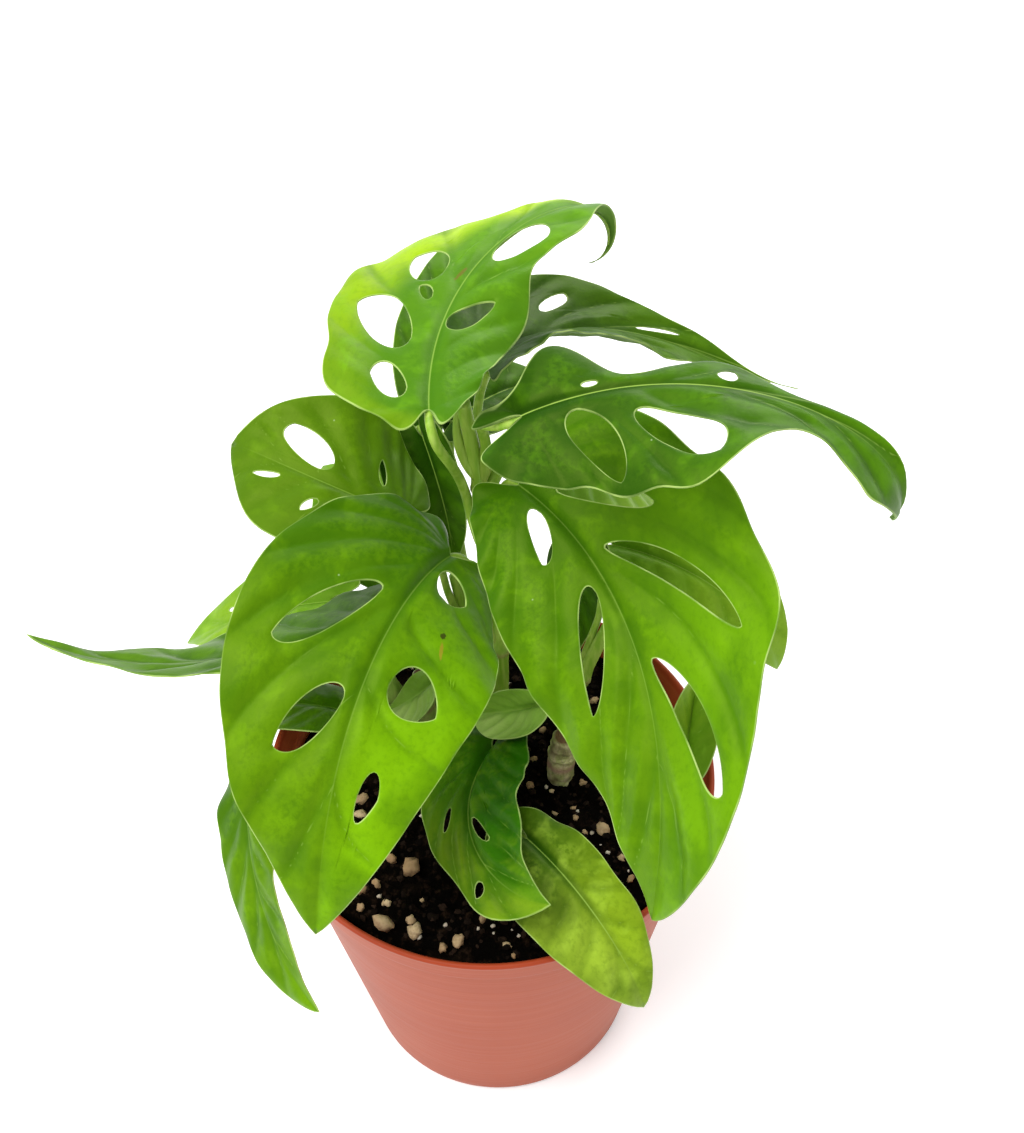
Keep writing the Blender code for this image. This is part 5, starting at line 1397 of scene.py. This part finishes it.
class LeafLook(bpy.types.PropertyGroup):
    """Relief and colours that all the leaves share."""

    blade_thickness: size("Blade", 0.0006, "Thickness of a blade away from its edges")
    vein_depth: size("Vein depth", 0.00032, "Depth of the side veins' grooves")
    quilting: size("Quilting", 0.0012, "How far the skin swells between side veins")
    wave_height: size("Wave height", 0.0022, "Height of the irregular waves of a margin")
    wave_length: size("Wave length", 0.009, "Half the length of such a wave")
    wobble: FloatProperty(name="Wobble", default=0.04, min=0.0, description="Unevenness of a margin's outline")
    grid: FloatProperty(name="Grid", default=1.15, min=0.2, description="Rows of the blade's grid for each mm")
    shine: FloatProperty(name="Shine", default=0.2, min=0.0, max=1.0, description="Strength of the gloss")
    shine_colour: colour("Shine colour", (0.85, 1.0, 0.2), "Tint of the gloss")
    margin_width: size("Margin", 0.0002, "Width of the pale edge line")
    margin_colour: colour("Margin colour", (0.40, 0.54, 0.16), "Pale line on margins and hole edges")
    vein_colour: colour("Vein colour", (0.30, 0.46, 0.08), "Pale rib and side veins")
    underside: colour("Underside", (0.17, 0.30, 0.06), "Dull, paler lower face")


class StemLook(bpy.types.PropertyGroup):
    """Colours of stems, stalks and the cane."""

    green: colour("Green", (0.19, 0.36, 0.02), "Stem and stalk green")
    pale: colour("Pale streaks", (0.42, 0.55, 0.10), "Lighter streaks along a stalk")
    scar: colour("Scars", (0.28, 0.22, 0.08), "Rings and flecks")
    cane_green: colour("Cane, green", (0.50, 0.54, 0.20), "Green patches of the old cane")
    cane_tan: colour("Cane, tan", (0.76, 0.70, 0.38), "Tan patches of the old cane")


class StageSettings(bpy.types.PropertyGroup):
    """Camera, floor and lights."""

    camera_place: FloatVectorProperty(
        name="Camera", default=(0.0, -0.2311, 0.4348), subtype="XYZ", unit="LENGTH",
        description="Place of the camera, as worked out from the pot")
    camera_aim: FloatVectorProperty(
        name="Aim", default=(0.01998672, 0.68552706, -0.72777276), subtype="DIRECTION",
        description="Direction that the camera looks in")
    camera_roll: FloatProperty(
        name="Roll", default=math.radians(-1.2), subtype="ANGLE", description="Turn of the camera about its aim")
    lens: FloatProperty(name="Lens", default=46.33, description="Focal length for a 36 mm long side, in mm")
    sky: FloatProperty(name="Sky", default=0.62, description="Strength of the even white surround")
    key: FloatProperty(name="Key", default=26.0, unit="POWER", description="Power of the soft main light")
    back: FloatProperty(name="Back", default=9.0, unit="POWER", description="Power of the soft light behind")


class VineSettings(bpy.types.PropertyGroup):
    """Everything that the panel shows."""

    pot: PointerProperty(type=PotSizes)
    pot_look: PointerProperty(type=PotLook)
    mix_look: PointerProperty(type=MixLook)
    leaf: PointerProperty(type=LeafLook)
    stem: PointerProperty(type=StemLook)
    stage: PointerProperty(type=StageSettings)


# Operators


class VINE_OT_pot(bpy.types.Operator):
    """Builds the moulded nursery pot"""

    bl_idname = "vine.pot"
    bl_label = "Pot"

    def execute(self, context):
        build_pot(context.scene.vine)
        return {"FINISHED"}


class VINE_OT_mix(bpy.types.Operator):
    """Builds the potting mix that fills the pot"""

    bl_idname = "vine.mix"
    bl_label = "Potting Mix"

    def execute(self, context):
        build_mix(context.scene.vine)
        return {"FINISHED"}


class VINE_OT_bits(bpy.types.Operator):
    """Scatters pumice, perlite and crumbs on the mix"""

    bl_idname = "vine.bits"
    bl_label = "Loose Bits"

    def execute(self, context):
        settings = context.scene.vine
        look, clear = settings.mix_look, standing_places()
        counts = (look.pumice, look.perlite, look.crumbs)
        for n, (name, low, high, flatness, sink, light, dark) in enumerate(BITS):
            placed = LUMPS if name == "pumice_bits" else ()
            shell = scatter(counts[n], low, high, flatness, look.seed + n, settings.pot, sink, clear, placed)
            finish = bits_finish(name.replace("_", " "), light, dark)
            angle = CRUMB_ANGLE if name == "bark_crumbs" else None
            add_piece(name, mesh_from(name, *shell), finish, [], angle)
        return {"FINISHED"}


class VINE_OT_stems(bpy.types.Operator):
    """Builds the four stems, with the rolled sheath and the cut stalk on the main one"""

    bl_idname = "vine.stems"
    bl_label = "Stems"

    def execute(self, context):
        settings = context.scene.vine
        for row in STEMS:
            shells = [Stem(*row, settings.pot).shell()]
            if row[0] == "stem_main":
                shells.append(side_branch(SHEATH, SHEATH_RADII, False))
                shells.append(side_branch(STUB, STUB_RADII, True))
            mesh = mesh_from(row[0], *merged(shells))
            add_piece(row[0] + "_piece", mesh, stem_material(settings), [row[0]], SOFT_ANGLE)
        return {"FINISHED"}


class VINE_OT_stumps(bpy.types.Operator):
    """Builds the two cut stalks and the old cane"""

    bl_idname = "vine.stumps"
    bl_label = "Cut Stalks and Cane"

    def execute(self, context):
        settings = context.scene.vine
        look = settings.stem
        for name, root, radius, reach in STUMPS:
            cane = name == "old_cane"
            mesh = mesh_from(name, *stump_shell(root, radius, reach, settings.pot, cane))
            if cane:
                finish = cane_finish(look)
            else:
                finish = stem_finish(name.replace("_", " "), STUMP_GREEN, STUMP_PALE, tuple(look.scar))
            add_piece(name + "_piece", mesh, finish, [name], SOFT_ANGLE)
        return {"FINISHED"}


class LeafGroup:
    """Shared step of the leaf operators: builds the leaves whose names it has."""

    def execute(self, context):
        for leaf in LEAVES:
            if leaf.name in self.names:
                build_leaf(leaf, context.scene.vine)
        return {"FINISHED"}


class VINE_OT_upper_leaves(LeafGroup, bpy.types.Operator):
    """Builds the large pierced leaves at the top"""

    bl_idname = "vine.upper_leaves"
    bl_label = "Upper Leaves"
    names = UPPER


class VINE_OT_front_leaves(LeafGroup, bpy.types.Operator):
    """Builds the leaves in front and the one that hangs over the rim"""

    bl_idname = "vine.front_leaves"
    bl_label = "Front Leaves"
    names = FRONT


class VINE_OT_young_leaves(LeafGroup, bpy.types.Operator):
    """Builds the small young leaves low in the pot"""

    bl_idname = "vine.young_leaves"
    bl_label = "Young Leaves"
    names = YOUNG


class VINE_OT_inner_leaves(LeafGroup, bpy.types.Operator):
    """Builds the other leaves, inside and behind"""

    bl_idname = "vine.inner_leaves"
    bl_label = "Inner and Back Leaves"
    names = INNER


class VINE_OT_stage(bpy.types.Operator):
    """Sets the camera, a plain pale floor and soft studio light"""

    bl_idname = "vine.stage"
    bl_label = "Stage"

    def execute(self, context):
        stage = context.scene.vine.stage
        add_camera(context.scene, stage)
        add_floor()
        add_light("main_light", (-0.55, -0.25, 1.35), 1.1, stage.key)
        add_light("back_light", (0.5, 1.1, 0.9), 0.8, stage.back)
        world = bpy.data.worlds.new("white surround")
        world.use_nodes = True
        background = world.node_tree.nodes["Background"]
        background.inputs["Color"].default_value = (1.0, 1.0, 1.0, 1.0)
        background.inputs["Strength"].default_value = stage.sky
        context.scene.world = world
        context.scene.view_settings.view_transform = "Standard"
        return {"FINISHED"}


def add_camera(scene, stage):
    """Camera that looks along its aim, with the horizon turned by its roll."""
    forward = Vector(stage.camera_aim).normalized()
    right = forward.cross(Vector((0.0, 0.0, 1.0))).normalized()
    up = right.cross(forward)
    c, s = math.cos(stage.camera_roll), math.sin(stage.camera_roll)
    across, upright = right * c + up * s, up * c - right * s
    data = bpy.data.cameras.new("camera")
    data.sensor_width = 36.0
    data.lens = stage.lens
    data.clip_start = 0.01
    camera = bpy.data.objects.new("camera", data)
    turn = Matrix((across, upright, -forward)).transposed().to_4x4()
    camera.matrix_world = Matrix.Translation(Vector(stage.camera_place)) @ turn
    scene.collection.objects.link(camera)
    scene.camera = camera


def add_floor():
    """Wide pale floor, a little lit from within, as on a light table, so that shadows stay faint."""
    mesh = bpy.data.meshes.new("floor")
    mesh.from_pydata([(-4, -4, 0), (4, -4, 0), (4, 6, 0), (-4, 6, 0)], [], [(0, 1, 2, 3)])
    floor = bpy.data.objects.new("floor", mesh)
    bpy.context.scene.collection.objects.link(floor)
    white = (1.0, 1.0, 1.0, 1.0)
    finish = Finish("pale floor", base_color=(0.9, 0.9, 0.9, 1.0), emission_color=white, emission_strength=0.25)
    mesh.materials.append(finish.material)


def add_light(name, place, width, power):
    """Square soft light aimed at the plant's middle."""
    data = bpy.data.lights.new(name, "AREA")
    data.size = width
    data.energy = power
    light = bpy.data.objects.new(name, data)
    light.location = place
    light.rotation_euler = (Vector((0.0, 0.0, 0.13)) - Vector(place)).to_track_quat("-Z", "Y").to_euler()
    bpy.context.scene.collection.objects.link(light)


OPERATORS = (
    VINE_OT_pot, VINE_OT_mix, VINE_OT_bits, VINE_OT_stems, VINE_OT_stumps, VINE_OT_upper_leaves,
    VINE_OT_front_leaves, VINE_OT_young_leaves, VINE_OT_inner_leaves, VINE_OT_stage,
)


class VINE_PT_panel(bpy.types.Panel):
    """Sizes, colours and build steps of the vine"""

    bl_label = "Swiss Cheese Vine"
    bl_idname = "VINE_PT_panel"
    bl_space_type = "VIEW_3D"
    bl_region_type = "UI"
    bl_category = "Vine"

    def draw(self, context):
        settings = context.scene.vine
        for operator in OPERATORS:
            self.layout.operator(operator.bl_idname)
        for part in ("pot", "pot_look", "mix_look", "leaf", "stem", "stage"):
            group, box = getattr(settings, part), self.layout.box()
            for key in group.bl_rna.properties.keys():
                if key not in ("rna_type", "name"):
                    box.prop(group, key)


GROUPS = (PotSizes, PotLook, MixLook, LeafLook, StemLook, StageSettings, VineSettings)


def register():
    for cls in GROUPS + OPERATORS + (VINE_PT_panel,):
        bpy.utils.register_class(cls)
    bpy.types.Scene.vine = PointerProperty(type=VineSettings)


def unregister():
    del bpy.types.Scene.vine
    for cls in reversed(GROUPS + OPERATORS + (VINE_PT_panel,)):
        bpy.utils.unregister_class(cls)


def main():
    register()
    for operator in OPERATORS:
        getattr(bpy.ops.vine, operator.bl_idname.split(".")[1])()


if __name__ == "__main__":
    main()
